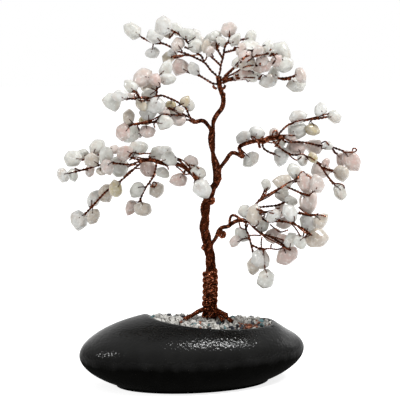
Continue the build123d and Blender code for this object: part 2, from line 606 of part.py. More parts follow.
def wrap_rings():
    turns = (WRAP_END_HEIGHT - WRAP_START_HEIGHT) / WRAP_PITCH
    count = round(turns * WRAP_SIDES_PER_TURN)
    radius = trunk_radius(0) + STRAND_DIAMETER / 2 + WRAP_SEAT + WRAP_THICKNESS / 2
    rings = []
    for k in range(count + 1):
        turn = 2 * math.pi * k / WRAP_SIDES_PER_TURN
        height = WRAP_START_HEIGHT + WRAP_PITCH * k / WRAP_SIDES_PER_TURN
        outward = RIGHT * math.cos(turn) + BACK * math.sin(turn)
        middle = trunk_middle(height) + outward * radius
        rings.append([middle + outward * a * WRAP_THICKNESS / 2 + UP * b * WRAP_WIDTH / 2
                      for a, b in WRAP_SECTION_SHARES])
    return rings


def wrap_self_gap(rings):
    """Least gap from each ring to the turn above it."""
    points = np.array(rings)
    gaps = []
    for k in range(len(points) - WRAP_SIDES_PER_TURN):
        above = points[k + WRAP_SIDES_PER_TURN]
        gaps.append(min(np.linalg.norm(above - p, axis=1).min() for p in points[k]))
    return min(gaps)


# Chips on their hooked stems

def varied(index, step_share):
    """Even spread between -1 and 1 over the chips."""
    return 2 * ((index + 1) * step_share % 1) - 1


def chip_axes(index, turn):
    """Long axis, cross axis and face direction of a chip, with its own small lean."""
    angle = math.radians(turn)
    long_axis = RIGHT * math.cos(angle) + RISE * math.sin(angle)
    cross_axis = RISE * math.cos(angle) - RIGHT * math.sin(angle)
    long_axis = turned(long_axis, cross_axis, CHIP_LEAN * varied(index, LEAN_STEP_SHARE))
    return long_axis, turned(cross_axis, long_axis, CHIP_ROLL * varied(index, ROLL_STEP_SHARE))


def chip_shape(index, length):
    """Outline of a chip in its own plane, and its thickness."""
    outline = CHIP_OUTLINE_SHARES[index % len(CHIP_OUTLINE_SHARES)]
    mirror = -1 if index % 2 else 1
    width = length * CHIP_WIDTH_SHARE * (1 + CHIP_SPREAD_SHARE * varied(index, WIDTH_STEP_SHARE))
    thickness = length * CHIP_THICKNESS_SHARE * (1 + CHIP_SPREAD_SHARE * varied(index, THICKNESS_STEP_SHARE))
    return [np.array([a * length / 2, b * mirror * width / 2]) for a, b in outline][::mirror], thickness


def chip_rings(middle, axes, outline, thickness):
    """Rings of the chip's lower face, girdle and upper face."""
    long_axis, cross_axis = axes
    face = np.cross(long_axis, cross_axis)
    levels = [(-0.5, CHIP_FACE_SHARE), (0.0, 1.0), (0.5, CHIP_FACE_SHARE)]
    return [[middle + face * level * thickness + (long_axis * a + cross_axis * b) * share for a, b in outline]
            for level, share in levels]


def bored_chip(rings, bore):
    """Chip with a bore from its lower to its upper face."""
    low_hole, high_hole = bore
    faces = bands(rings) + bands([low_hole, high_hole])
    faces += [polygon(rings[0], low_hole), polygon(rings[-1], high_hole)]
    return Solid(Shell(faces))


class HungChip:
    """One chip with its bore and hooked stem, in one trial place."""

    def __init__(self, index, chip, depth, hook):
        px, py, length_px, turn, self.tint = chip
        self.middle = place(px, py, depth)
        long_axis, cross_axis = chip_axes(index, turn)
        face = np.cross(long_axis, cross_axis)
        outline, thickness = chip_shape(index, length_px * CHIP_LENGTH_SHARE * MM_PER_PIXEL)
        self.rings = chip_rings(self.middle, (long_axis, cross_axis), outline, thickness)
        self.corners = np.array([p for ring in self.rings for p in ring])
        toward = hook - self.middle
        flat_inward = unit(np.array([toward @ long_axis, toward @ cross_axis]))
        inward = long_axis * flat_inward[0] + cross_axis * flat_inward[1]
        reach = max(p @ flat_inward for p in outline)
        radius = STEM_DIAMETER / 2
        top = face * (thickness / 2 + radius + HOOK_LIFT)
        edge = self.middle + inward * (reach + radius + HOOK_REACH)
        self.long_axis = long_axis
        self.cross_axis = cross_axis
        self.face = face
        self.thickness = thickness
        self.bore_middle = self.middle + inward * reach * BORE_PLACE_SHARE
        tail = self.bore_middle - face * (thickness / 2 + HOOK_TAIL)
        self.stem = [tail, self.bore_middle + top, edge + top, hook]

    def bore(self):
        radius = STEM_DIAMETER / 2 + BORE_CLEARANCE
        turns = [2 * math.pi * k / STEM_SIDES for k in range(STEM_SIDES)]
        spokes = [(self.long_axis * math.cos(t) + self.cross_axis * math.sin(t)) * radius for t in turns]
        ends = [self.bore_middle + self.face * level * self.thickness for level in (-0.5, 0.5)]
        return [[end + s for s in spokes] for end in ends]

    def in_band(self, band):
        depths = [depth_of(p) for p in self.corners]
        return min(depths) >= band[0] * TREE_DEPTH and max(depths) <= band[1] * TREE_DEPTH

    def settle(self, crowd, carrier):
        """Start the stem close to its carrier but clear of it; return how much room the worst piece has."""
        if unit(self.stem[2] - self.stem[1]) @ unit(self.stem[3] - self.stem[2]) < SHARPEST_STEM_SHARE:
            return -1.0
        back, rim = from_clear_start(self.stem[::-1], STEM_DIAMETER, crowd)
        self.stem = back[::-1]
        if carrier.gap(rim) > SEAT_GAP:
            return -1.0
        room = crowd.room(self.corners, 0, CHIP_GAP) / CHIP_GAP
        rings = wire_rings(self.stem, STEM_DIAMETER, STEM_SIDES, self.long_axis)
        for low, high in zip(rings, rings[1:]):
            if room < 0:
                break
            room = min(room, crowd.room(low + high, 0, WIRE_GAP) / WIRE_GAP)
        return room

    def join(self, crowd):
        crowd.add(self.corners, 0)
        crowd.add_wire(self.stem, STEM_DIAMETER)


def picture_place(point):
    """Picture point at which a point in space is seen."""
    ray = point - EYE
    ahead = ray @ AHEAD
    return np.array([PICTURE_CENTRE_PX[0] + FOCAL_PX * (ray @ RIGHT) / ahead,
                     PICTURE_CENTRE_PX[1] - FOCAL_PX * (ray @ RISE) / ahead])


class Carrier:
    """A bundle or spray that chips and further sprays hang from."""

    def __init__(self, line, diameter, band):
        self.line = line
        self.diameter = diameter
        self.band = band
        self.lengths = running_length(line)
        self.used = 0.0

    def gap(self, rim):
        """Gap to the corners of a wire's start."""
        apart = []
        for a, b in zip(self.line, self.line[1:]):
            for point in rim:
                along = min(1.0, max(0.0, (point - a) @ (b - a) / ((b - a) @ (b - a))))
                apart.append(math.dist(point, a + (b - a) * along))
        return min(apart) - self.diameter / 2

    def hold(self, run):
        """Keep the line as far as a short tail past something that hangs from it."""
        self.used = max(self.used, run + SPRAY_TAIL)

    def point(self, run):
        return np.array([np.interp(run, self.lengths, [p[i] for p in self.line]) for i in range(3)])

    def stations(self):
        """Even steps along the line, each with its picture point."""
        count = max(1, round(self.lengths[-1] / ATTACH_STEP))
        runs = [self.lengths[-1] * k / count for k in range(count + 1)]
        return [(self, run, picture_place(self.point(run))) for run in runs]

    def trimmed(self):
        """The line as far as it carries anything."""
        end = min(self.lengths[-1], self.used)
        kept = [p for p, run in zip(self.line, self.lengths) if run < end - SPRAY_TAIL / 2]
        return kept + [self.point(end)]


def spray_line(root, picture_points, tip_share):
    """Line from a root through picture points, going evenly to the depth of its tip."""
    gone = running_length(picture_points)
    depths = np.interp(gone, (0, gone[-1]), (depth_of(root), tip_share * TREE_DEPTH))
    return [root] + [place(px, py, depth) for (px, py), depth in zip(picture_points[1:], depths[1:])]


def grow_spray(picture_points, tip_share, carriers, crowd):
    """Line of a spray from the nearest place on a carrier where it can start close by."""
    stations = [s for carrier in carriers for s in carrier.stations()]
    stations.sort(key=lambda s: math.dist(s[2], picture_points[0]))
    trials = []
    for parent, run, _ in stations[:HOOK_TRIALS]:
        line = spray_line(parent.point(run), picture_points, tip_share)
        line, rim = from_clear_start(line, SPRAY_DIAMETER, crowd)
        trials.append((parent.gap(rim), len(trials), parent, run, line))
        if trials[-1][0] <= SEAT_GAP:
            break
    gap, _, parent, run, line = min(trials, key=lambda trial: trial[:2])
    if gap > SEAT_GAP:
        print(f"spray from {picture_points[0]} starts {gap:.2f} mm from its carrier")
    parent.hold(run)
    crowd.add_wire(line, SPRAY_DIAMETER)
    return line


def hang_chip(index, chip, carriers, crowd):
    """Best place for a chip: near its carrier in depth, clear of everything placed before it."""
    near = CHIP_STANDOFF_SHARE * chip[2]
    options = []
    for carrier, run, seen in (s for c in carriers for s in c.stations()):
        apart = math.dist(seen, chip[:2])
        options.append((max(apart, 2 * near - apart), len(options), carrier, run))
    best, best_room, best_hold = None, -2.0, None
    for _, _, carrier, run in sorted(options, key=lambda option: option[:2])[:HOOK_TRIALS]:
        hook = carrier.point(run)
        for k in range(DEPTH_TRIALS):
            steps = (k + 1) // 2 * (-1 if k % 2 else 1)
            trial = HungChip(index, chip, depth_of(hook) + steps * DEPTH_STEP, hook)
            if not trial.in_band(carrier.band):
                continue
            room = trial.settle(crowd, carrier)
            if room > best_room:
                best, best_room, best_hold = trial, room, (carrier, run)
            if best_room >= 1:
                break
        if best_room >= 1:
            break
    best_hold[0].hold(best_hold[1])
    best.join(crowd)
    if best_room < 1:
        print(f"chip at {chip[:2]} has {best_room:.2f} of the room it should have")
    return best


# Whole tree

def trunk_nodes(crowd):
    """Five strands, and the ribbon wound round them."""
    nodes = {}
    for name in STRAND_LEAVES:
        line = strand_points(name)
        nodes[f"{name}_strand"] = [wire(line, STRAND_DIAMETER, STRAND_SIDES)]
        crowd.add_wire(line, STRAND_DIAMETER)
    rings = wrap_rings()
    nodes["trunk_wrap"] = [skin(rings, triangles=True)]
    turns = (len(rings) - 1) / WRAP_SIDES_PER_TURN
    print(f"winding: {turns:.1f} turns, least gap to itself {wrap_self_gap(rings):.2f} mm")
    return nodes


def bough_carriers(name, crowd):
    """A bough's bundle and then its sprays, each clear of what came before."""
    bend, along = bend_points(name)
    print(f"{name} bend at {bend[0]:.2f}, {bend[1]:.2f}, {bend[2]:.2f}")
    bundle = [bend + along * BEND_GAP / 2]
    bundle += [place(px, py, share * TREE_DEPTH) for px, py, share in BOUGH_DEPTH_SHARES[name][1:]]
    crowd.add_wire(bundle, STRAND_DIAMETER)
    bands = [band for _, band, _ in SPRAY_SHARES[name]]
    whole_band = (min(b[0] for b in bands), max(b[1] for b in bands))
    carriers = [Carrier(bundle[1:], STRAND_DIAMETER, whole_band)]
    for tip_share, band, picture_points in SPRAY_SHARES[name]:
        line = grow_spray(picture_points, tip_share, carriers, crowd)
        carriers.append(Carrier(line, SPRAY_DIAMETER, band))
    return bundle, carriers


def bough_nodes(name, first_index, bundle, carriers, crowd):
    """Bundle, sprays, hooked stems and the chips of each tint."""
    nodes = {f"{name}_bundle": [wire(bundle, STRAND_DIAMETER, STRAND_SIDES)]}
    units = [hang_chip(first_index + i, chip, carriers, crowd) for i, chip in enumerate(CHIPS_PX[name])]
    nodes[f"{name}_sprays"] = [wire(c.trimmed(), SPRAY_DIAMETER, SPRAY_SIDES) for c in carriers[1:] if c.used]
    nodes[f"{name}_stems"] = [wire(u.stem, STEM_DIAMETER, STEM_SIDES, u.long_axis) for u in units]
    for one in units:
        nodes.setdefault(f"{name}_{one.tint}_chips", []).append(bored_chip(one.rings, one.bore()))
    return nodes


# Gravel on the plaster

def gravel_tint(x, y, draw):
    """Pale chips, with rust ones at the front right and a few blue-green and dark ones."""
    front_right = x > RUST_START_SHARE * MOUTH_HALF_LENGTH and y < -RUST_EDGE_SHARE * MOUTH_HALF_WIDTH
    if front_right and draw < RUST_SHARE:
        return "rust"
    if draw > 1 - TEAL_SHARE:
        return "teal"
    return "dark" if draw > 1 - TEAL_SHARE - DARK_SHARE else "pale"


def gravel_chip(x, y, radius, height, start):
    """Rings of one five-sided chip that sits on the plaster."""
    seat = MOUTH_MIDDLE + MOUTH_ALONG * x + ACROSS * y - MOUTH_UP * (GRAVEL_DEPTH - GRAVEL_SEAT)
    turns = [start + 2 * math.pi * k / GRAVEL_SIDES for k in range(GRAVEL_SIDES)]
    spokes = [MOUTH_ALONG * math.cos(t) + ACROSS * math.sin(t) for t in turns]
    low = [seat + s * radius for s in spokes]
    return low, [seat + MOUTH_UP * height + s * radius * GRAVEL_TOP_SHARE for s in spokes]


def gravel_nodes():
    """Chips on a loose grid inside the mouth, clear of the roots."""
    roots = Crowd()
    for name in STRAND_LEAVES:
        roots.add_wire(strand_points(name)[:4], STRAND_DIAMETER)
    dice = random.Random(11)
    half_length = MOUTH_HALF_LENGTH - MOUTH_RIM - FILL_CLEARANCE
    half_width = MOUTH_HALF_WIDTH - MOUTH_RIM - FILL_CLEARANCE
    rows = math.ceil(half_width / GRAVEL_STEP)
    columns = math.ceil(half_length / GRAVEL_STEP)
    nodes = {}
    for row in range(-rows, rows + 1):
        for column in range(-columns, columns + 1):
            radius = GRAVEL_RADIUS * (1 - GRAVEL_SPREAD_SHARE * dice.random())
            slack = (GRAVEL_STEP - GRAVEL_GAP) / 2 - radius
            x = (column + row % 2 / 2) * GRAVEL_STEP + slack * (2 * dice.random() - 1)
            y = row * GRAVEL_STEP + slack * (2 * dice.random() - 1)
            height = GRAVEL_HEIGHT * (1 - GRAVEL_SPREAD_SHARE * dice.random())
            tint = gravel_tint(x, y, dice.random())
            rings = gravel_chip(x, y, radius, height, dice.random() * 2 * math.pi)
            if (x / (half_length - radius)) ** 2 + (y / (half_width - radius)) ** 2 > 1:
                continue
            if roots.room(rings[0] + rings[1], 0, GRAVEL_GAP) >= GRAVEL_GAP:
                nodes.setdefault(f"{tint}_gravel", []).append(skin(rings))
    return nodes


crowd = Crowd()
nodes = {"pot": [pot()], "plaster_fill": [well(-GRAVEL_DEPTH, FILL_CLEARANCE)]}
nodes.update(gravel_nodes())
nodes.update(trunk_nodes(crowd))
boughs = {name: bough_carriers(name, crowd) for name in BOUGH_DEPTH_SHARES}
hung = 0
for name, (bundle, carriers) in boughs.items():
    nodes.update(bough_nodes(name, hung, bundle, carriers, crowd))
    hung += len(CHIPS_PX[name])

os.makedirs("parts", exist_ok=True)
for node, solids in nodes.items():
    export_step(solids[0] if len(solids) == 1 else Compound(solids), f"parts/{node}.step")
print(f"{len(nodes)} nodes, {sum(len(s) for s in nodes.values())} solids")
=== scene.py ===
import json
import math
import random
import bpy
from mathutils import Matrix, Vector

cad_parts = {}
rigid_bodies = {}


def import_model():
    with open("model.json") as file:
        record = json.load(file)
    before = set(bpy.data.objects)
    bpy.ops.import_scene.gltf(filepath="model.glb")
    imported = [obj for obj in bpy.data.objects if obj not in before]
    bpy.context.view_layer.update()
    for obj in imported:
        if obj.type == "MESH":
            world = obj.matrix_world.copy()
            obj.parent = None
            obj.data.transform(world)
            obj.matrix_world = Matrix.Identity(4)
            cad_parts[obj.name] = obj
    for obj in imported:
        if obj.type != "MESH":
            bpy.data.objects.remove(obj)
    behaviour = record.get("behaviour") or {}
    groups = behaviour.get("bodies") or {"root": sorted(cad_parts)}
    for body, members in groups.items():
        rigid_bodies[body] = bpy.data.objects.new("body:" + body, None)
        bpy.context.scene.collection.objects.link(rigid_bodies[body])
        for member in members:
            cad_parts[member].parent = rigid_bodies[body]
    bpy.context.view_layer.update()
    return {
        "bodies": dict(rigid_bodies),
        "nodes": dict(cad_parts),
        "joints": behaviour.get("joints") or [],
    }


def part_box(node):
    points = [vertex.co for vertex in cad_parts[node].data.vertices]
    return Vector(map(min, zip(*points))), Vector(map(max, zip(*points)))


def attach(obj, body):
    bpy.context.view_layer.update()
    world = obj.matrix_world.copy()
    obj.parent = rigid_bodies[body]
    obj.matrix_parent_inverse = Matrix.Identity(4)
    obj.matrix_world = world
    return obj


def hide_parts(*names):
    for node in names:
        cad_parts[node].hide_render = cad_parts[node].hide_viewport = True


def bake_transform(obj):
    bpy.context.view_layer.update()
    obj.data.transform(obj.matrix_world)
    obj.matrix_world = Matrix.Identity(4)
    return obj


bl_info = {
    "name": "Gemstone Tree",
    "version": (1, 0, 0),
    "blender": (4, 5, 0),
    "location": "View3D > Sidebar > Gem Tree",
    "description": "Dresses a wire tree with twisted copper, tumbled quartz, gravel and a black pebble pot",
    "category": "Object",
}

import bmesh
import bpy
from mathutils import Matrix, Quaternion, Vector, geometry, noise

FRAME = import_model()

BOUGHS = [body.removesuffix("_bough") for body in FRAME["bodies"] if body.endswith("_bough")]
BENDS = {joint["child"].removesuffix("_bough"): Vector(joint["pos_m"]) for joint in FRAME["joints"]}
TINTS = ("clear", "rose", "honey")

MM = 0.001
UP = Vector((0, 0, 1))
ACROSS = Vector((0, 1, 0))
MERGE = 0.002 * MM
FLAT = 0.99999
SINGLE_WIRE_LAY = 0.6

# View of the photograph: turn about the vertical, tilt, distance, picture scale
VIEW_TURN = math.radians(-14)
VIEW_TILT = math.radians(7.5)
VIEW_DISTANCE = 1.0
PICTURE_SIDE_PX = 400
METRES_PER_PX = 186 * MM / 299.5
TRUNK_FOOT_PX = (210, 318)
SENSOR = 36.0
NEAREST_SEEN = 0.01
RIGHT = Vector((math.cos(VIEW_TURN), math.sin(VIEW_TURN), 0))
BACK = Vector((-math.sin(VIEW_TURN), math.cos(VIEW_TURN), 0))
AHEAD = BACK * math.cos(VIEW_TILT) - UP * math.sin(VIEW_TILT)
RISE = BACK * math.sin(VIEW_TILT) + UP * math.cos(VIEW_TILT)

# Solids' own sizes that the dressing follows
STRAND_SIDES = 6
SPRAY_SIDES = 5
STEM_SIDES = 3
RIBBON_EVENNESS = 4
HOOK_TAIL = 0.5 * MM
HOOK_SPAN = 1.05 * MM

# Pebble pot
PEBBLE_HALF = Vector((69 * MM, 41.5 * MM, 25.8 * MM))
PEBBLE_CENTRE = Vector((0, 0, 19.8 * MM))
FOOT_RISE = 1.2 * MM
MOUTH_ENDS = (-29.2 * MM, 52.6 * MM)
MOUTH_LIP = 1.2 * MM
MOUTH_DIP = 1.3 * MM
BACK_DIP = 3.0 * MM
RIM_ROUNDS = 12
END_GROWTH = 2.1 * MM
END_POWER = 6
SHOULDER_SHARE = 0.15
SHOULDER_START = 0.7
SHOULDER_RUN = 0.2
SOLE_SHARES = (0.9, 0.5)
PEBBLE_SEGMENTS = 144
PEBBLE_RINGS = 72
LIP_SEGMENTS = 4
MOUTH_NECK = 4.0 * MM
POT_WALL = 4.0 * MM
POT_FLOOR = 5.0 * MM
GLAZE_FROM_TO = (17 * MM, 30 * MM)
GLAZE_THINS = (33 * MM, 40 * MM)
TRUNK_X = 10.9 * MM


def pebble_top(x):
    """Point on the long middle line of the pebble's upper surface."""
    share = math.sqrt(1 - (x / PEBBLE_HALF.x) ** 2)
    return Vector((x, 0, PEBBLE_CENTRE.z + PEBBLE_HALF.z * share))


LEFT_TIP, RIGHT_TIP = (pebble_top(x) for x in MOUTH_ENDS)
MOUTH_MIDDLE = (LEFT_TIP + RIGHT_TIP) / 2
MOUTH_ALONG = (RIGHT_TIP - LEFT_TIP).normalized()
MOUTH_UP = MOUTH_ALONG.cross(ACROSS)
MOUTH_HALF_LENGTH = (RIGHT_TIP - LEFT_TIP).length / 2
MOUTH_HALF_WIDTH = PEBBLE_HALF.y * math.sqrt(
    1 - (MOUTH_MIDDLE.x / PEBBLE_HALF.x) ** 2
    - ((MOUTH_MIDDLE.z - PEBBLE_CENTRE.z) / PEBBLE_HALF.z) ** 2)
TRUNK_FOOT = MOUTH_MIDDLE + MOUTH_ALONG * (TRUNK_X - MOUTH_MIDDLE.x) / MOUTH_ALONG.x


def tone(red, green, blue):
    """Linear colour of a screen colour given from 0 to 255."""
    def linear(value):
        value /= 255
        return value / 12.92 if value <= 0.04045 else ((value + 0.055) / 1.055) ** 2.4
    return (linear(red), linear(green), linear(blue))


def length_setting(name, description, default):
    return bpy.props.FloatProperty(name=name, description=description, default=default, min=0,
                                   unit="LENGTH", precision=5)


def share_setting(name, description, default):
    return bpy.props.FloatProperty(name=name, description=description, default=default, min=0,
                                   subtype="FACTOR", soft_max=2)


def power_setting(name, description, default):
    return bpy.props.FloatProperty(name=name, description=description, default=default, min=0, unit="POWER")


def colour_setting(name, description, default):
    return bpy.props.FloatVectorProperty(name=name, description=description, default=default, size=3,
                                         subtype="COLOR", min=0, max=1)


class WireSettings(bpy.types.PropertyGroup):
    """Sizes of the copper wire and how it is laid up."""

    rope_wire: length_setting("Rope wire", "Diameter of one wire in a bough's rope", 0.54 * MM)
    rope_radius: length_setting("Rope radius", "Distance of a rope's cords from its middle", 0.75 * MM)
    rope_lay: length_setting("Rope lay", "Length of one turn of a rope's cords", 9.5 * MM)
    cord_radius: length_setting("Cord radius", "Distance of a cord's wires from its middle", 0.3 * MM)
    cord_lay: length_setting("Cord lay", "Length of one turn of a cord's wires", 4.0 * MM)
    spray_wire: length_setting("Spray wire", "Diameter of one wire in a spray", 0.56 * MM)
    spray_radius: length_setting("Spray radius", "Distance of a spray's cords from its middle", 0.4 * MM)
    spray_lay: length_setting("Spray lay", "Length of one turn of a spray's cords", 4.8 * MM)
    stem_wire: length_setting("Stem wire", "Diameter of one wire in a stem", 0.54 * MM)
    stem_lay: length_setting("Stem lay", "Length of one turn of a stem's two wires", 2.2 * MM)
    wrap_wire: length_setting("Wrap wire", "Diameter of one wire wound round the trunk's foot", 0.8 * MM)
    copper: colour_setting("Copper", "Worn copper", tone(148, 76, 46))
    # This bright copper is also used for painted glints on the crests, together with rubbed wear.
    bright: colour_setting("Bright copper", "Rubbed spots on the crests", tone(184, 124, 97))
    patina: colour_setting("Patina", "Dark oxide on the copper", tone(30, 12, 6))


class StoneSettings(bpy.types.PropertyGroup):
    """Shape and colours of the tumbled quartz chips."""

    swell: share_setting("Swell", "Growth of a chip's corners before they are rounded off", 1.16)
    crispness: share_setting("Crispness", "How much of a chip's corners tumbling has left", 0.55)
    taper: share_setting("Taper", "How much slimmer one end of a chip may be than the other", 0.3)
    unevenness: length_setting("Unevenness", "Height of the dents left by tumbling", 0.22 * MM)
    milk: colour_setting("Milky quartz", "Usual body of the clear chips", tone(238, 239, 232))
    snow: colour_setting("Snow quartz", "Body of the whitest clear chips", tone(247, 248, 245))
    blush: colour_setting("Blush quartz", "Usual body of the rose chips", tone(235, 217, 209))
    rose: colour_setting("Rose quartz", "Body of the deepest rose chips", tone(223, 192, 182))
    smoke: colour_setting("Smoky quartz", "Usual body of the honey chips", tone(220, 207, 190))
    honey: colour_setting("Honey quartz", "Body of the deepest honey chips", tone(214, 197, 142))
    # Cloud is also the colour of the painted shade at each chip's rim.
    shade: colour_setting("Cloud", "Darker clouds inside every chip", tone(194, 190, 182))
    tan: colour_setting("Tan", "Warm patches that every chip may have", tone(217, 197, 180))
    veil: colour_setting("Veil", "White veils inside every chip", tone(251, 252, 250))


class PotSettings(bpy.types.PropertyGroup):
    """Finish of the pot and what fills it."""

    lip_round: length_setting("Lip rounding", "Radius of the mouth's lip", 0.45 * MM)
    grain: length_setting("Gravel grain", "Usual size of a gravel chip", 4.1 * MM)
    black: colour_setting("Black", "Body of the pot", tone(8, 8, 7))
    worn: colour_setting("Worn black", "Patches where the pot's glaze is duller", tone(15, 15, 14))
    pale: colour_setting("Pale gravel", "White and clear gravel", tone(226, 224, 218))
    rust: colour_setting("Rust gravel", "Red-brown gravel", tone(150, 84, 52))
    teal: colour_setting("Teal gravel", "Blue-green gravel", tone(96, 134, 138))
    dark: colour_setting("Dark gravel", "Black and navy gravel", tone(44, 46, 56))
    plaster: colour_setting("Plaster", "Plaster under the gravel", tone(196, 190, 180))


class StageSettings(bpy.types.PropertyGroup):
    """Light, floor and backdrop."""

    key_power: power_setting("Key light", "Power of the long light in front", 8.6)
    left_power: power_setting("Left light", "Power of the small light at the left", 3.0)
    right_power: power_setting("Right light", "Power of the wide light at the right", 0.6)
    sky: share_setting("Sky", "Strength of the even light from all round", 0.43)


# Shaders

class Signal:
    """A shader value that can be used in Python expressions."""

    def __init__(self, finish, socket):
        self.finish = finish
        self.socket = socket

    def worked(self, operation, first, second):
        return self.finish.node("Math", {"operation": operation}, {0: first, 1: second})

    def __add__(self, other):
        return self.worked("ADD", self, other)

    def __sub__(self, other):
        return self.worked("SUBTRACT", self, other)

    def __rsub__(self, other):
        return self.worked("SUBTRACT", other, self)

    def __mul__(self, other):
        return self.worked("MULTIPLY", self, other)

    __radd__ = __add__
    __rmul__ = __mul__


class Finish:
    """The nodes of a material, or of the world, in the making."""

    def __init__(self, owner):
        self.owner = owner
        owner.use_nodes = True
        self.tree = owner.node_tree
        self.tree.nodes.clear()

    @property
    def place(self):
        return self.node("TexCoord", output="Object")

    def node(self, kind, settings=None, inputs=None, output=0):
        """Any node: its settings first, then the values or links of its sockets."""
        node = self.tree.nodes.new("ShaderNode" + kind)
        for key, value in (settings or {}).items():
            setattr(node, key, value)
        for key, value in (inputs or {}).items():
            if isinstance(value, Signal):
                self.tree.links.new(value.socket, node.inputs[key])
            else:
                node.inputs[key].default_value = value
        return Signal(self, node.outputs[output])

    def grain(self, size, detail=2.0, roughness=0.5):
        """Noise from 0 to 1 with features of a given size."""
        return self.node("TexNoise", None, {"Vector": self.place, "Scale": 1 / size, "Detail": detail,
                                            "Roughness": roughness})

    def ramp(self, value, low, high):
        """Value spread so that low becomes 0 and high becomes 1."""
        return self.node("MapRange", {"clamp": True}, {"Value": value, "From Min": low, "From Max": high})

    def mix(self, factor, first, second):
        colours = [c if isinstance(c, Signal) else (*c, 1) for c in (first, second)]
        return self.node("Mix", {"data_type": "RGBA"}, {0: factor, 6: colours[0], 7: colours[1]}, 2)

    def shade(self, name):
        """Value that a mesh stores under a name."""
        return self.node("Attribute", {"attribute_name": name}, None, "Fac")

    def bump(self, height, distance, strength=1.0):
        return self.node("Bump", None, {"Height": height, "Distance": distance, "Strength": strength})

    def surface(self, **sockets):
        """The main shader with these sockets set."""
        inputs = {key.replace("_", " "): value for key, value in sockets.items()}
        return self.node("BsdfPrincipled", None, inputs)

    def close(self, **sockets):
        """Material that is the main shader alone."""
        self.end("OutputMaterial", self.surface(**sockets))
        return self.owner

    def end(self, kind, surface):
        output = self.tree.nodes.new("ShaderNode" + kind)
        self.tree.links.new(surface.socket, output.inputs["Surface"])

    def seen(self):
        """One where the camera, a reflection or a clear stone looks."""
        camera, glossy, clear = (self.node("LightPath", output=f"Is {kind} Ray")
                                 for kind in ("Camera", "Glossy", "Transmission"))
        return self.ramp(camera + glossy + clear, 0, 1)


def copper_wire(settings):
    """Oxidised copper: patina and painted shade darken the lays; wear brightens the crests and patches, and
    painted glints light specks on the crests.
    """
    finish = Finish(bpy.data.materials.new("worn_copper"))
    patches = finish.ramp(finish.grain(6 * MM, 3), 0.36, 0.66)
    # Speck pattern: a fine bump, and the places of the painted glints.
    specks_and_glints = finish.ramp(finish.grain(1.5 * MM, 2), 0.46, 0.62)
    # Painted shade: the lays between the wires are darkened and the crests lit, by each point's height on its
    # rope; patina also gathers in the lays.
    crest_wear_and_lay_shade = finish.ramp(finish.shade("lay"), 0.4, 0.9)
    # Partly real wear in patches, partly painted light on the crests and painted shade in the lays.
    worn = crest_wear_and_lay_shade * (patches * 0.35 + specks_and_glints * 0.65)
    colour = finish.mix(worn, settings.patina, settings.copper)
    # Painted glints: the most rubbed specks on the crests turn bright copper in place of sparkling
    # highlights.
    colour = finish.mix(finish.ramp(worn, 0.5, 0.9), colour, settings.bright)
    return finish.close(Base_Color=colour, Metallic=1.0, Roughness=0.3 - worn * 0.12,
                        Specular_Tint=(*tone(215, 175, 155), 1), Normal=finish.bump(specks_and_glints, 0.03 * MM, 0.4))


def quartz(name, plain, marked, settings):
    """Tumbled quartz: milky, clouded and veined, with painted shade greying it towards its rim, and a soft
    polish.
    """
    finish = Finish(bpy.data.materials.new(name))
    clouds = finish.ramp(finish.grain(3.2 * MM, 3, 0.6), 0.38, 0.64)
    veils = finish.ramp(finish.grain(2.2 * MM, 4, 0.65), 0.48, 0.68)
    warmth = finish.ramp(finish.grain(8 * MM, 2), 0.5, 0.75)
    each = finish.shade("stone_shade")
    rim = finish.ramp(finish.shade("stone_rim"), 0.5, 1)
    colour = finish.mix(finish.ramp(each, 0.5, 0.66), plain, marked)
    colour = finish.mix(clouds * 0.5, colour, settings.shade)
    colour = finish.mix(warmth * 0.6, colour, settings.tan)
    colour = finish.mix(veils * 0.6, colour, settings.veil)
    # Painted shade: each chip greys towards its rim.
    colour = finish.mix(rim * 0.45, colour, settings.shade)
    dents = finish.grain(1.1 * MM, 2)
    return finish.close(Base_Color=colour, Roughness=0.16 + veils * 0.16, IOR=1.5,
                        Subsurface_Weight=0.5, Subsurface_Radius=(1.0, 0.95, 0.9), Subsurface_Scale=2.4 * MM,
                        Transmission_Weight=0.15, Coat_Weight=0.5, Coat_Roughness=0.06,
                        Normal=finish.bump(dents, 0.04 * MM, 0.5))


def black_pot(settings):
    """Black pot, matt at its foot, with a glossy, finely pebbled glaze on its upper half."""
    finish = Finish(bpy.data.materials.new("black_pot"))
    pebbles = finish.node("TexVoronoi", {"feature": "SMOOTH_F1"},
                          {"Vector": finish.place, "Scale": 1 / (1.6 * MM), "Smoothness": 0.6})
    skin = finish.grain(0.8 * MM, 2)
    wear = finish.ramp(finish.grain(9 * MM, 3), 0.4, 0.7)
    colour = finish.mix(wear * 0.5, settings.black, settings.worn)
    relief = finish.bump(skin * 0.3 - pebbles, 0.2 * MM, 1.0)
    matt = finish.surface(Base_Color=colour, Roughness=0.8, Specular_IOR_Level=0.01, Normal=relief)
    glazed = finish.surface(Base_Color=colour, Roughness=0.12 + skin * 0.06, Specular_IOR_Level=0.22,
                            Normal=relief)
    height = finish.node("SeparateXYZ", None, {"Vector": finish.place}, "Z") + wear * 2 * MM
    glaze = finish.ramp(height, *GLAZE_FROM_TO) * (1 - 0.5 * finish.ramp(height, *GLAZE_THINS))
    finish.end("OutputMaterial", finish.node("MixShader", None, {0: glaze, 1: matt, 2: glazed}))
    return finish.owner


def gravel_stone(name, body):
    """Broken stone, each chip a little different."""
    finish = Finish(bpy.data.materials.new(name))
    each = finish.shade("stone_shade")
    mottle = finish.ramp(finish.grain(1.2 * MM, 3), 0.35, 0.7)
    darker = tuple(c * 0.33 for c in body)
    colour = finish.mix(finish.ramp(each, 0.2, 1) * 0.75 + mottle * 0.25, body, darker)
    return finish.close(Base_Color=colour, Roughness=0.45 + mottle * 0.3,
                        Normal=finish.bump(mottle, 0.1 * MM, 0.6))


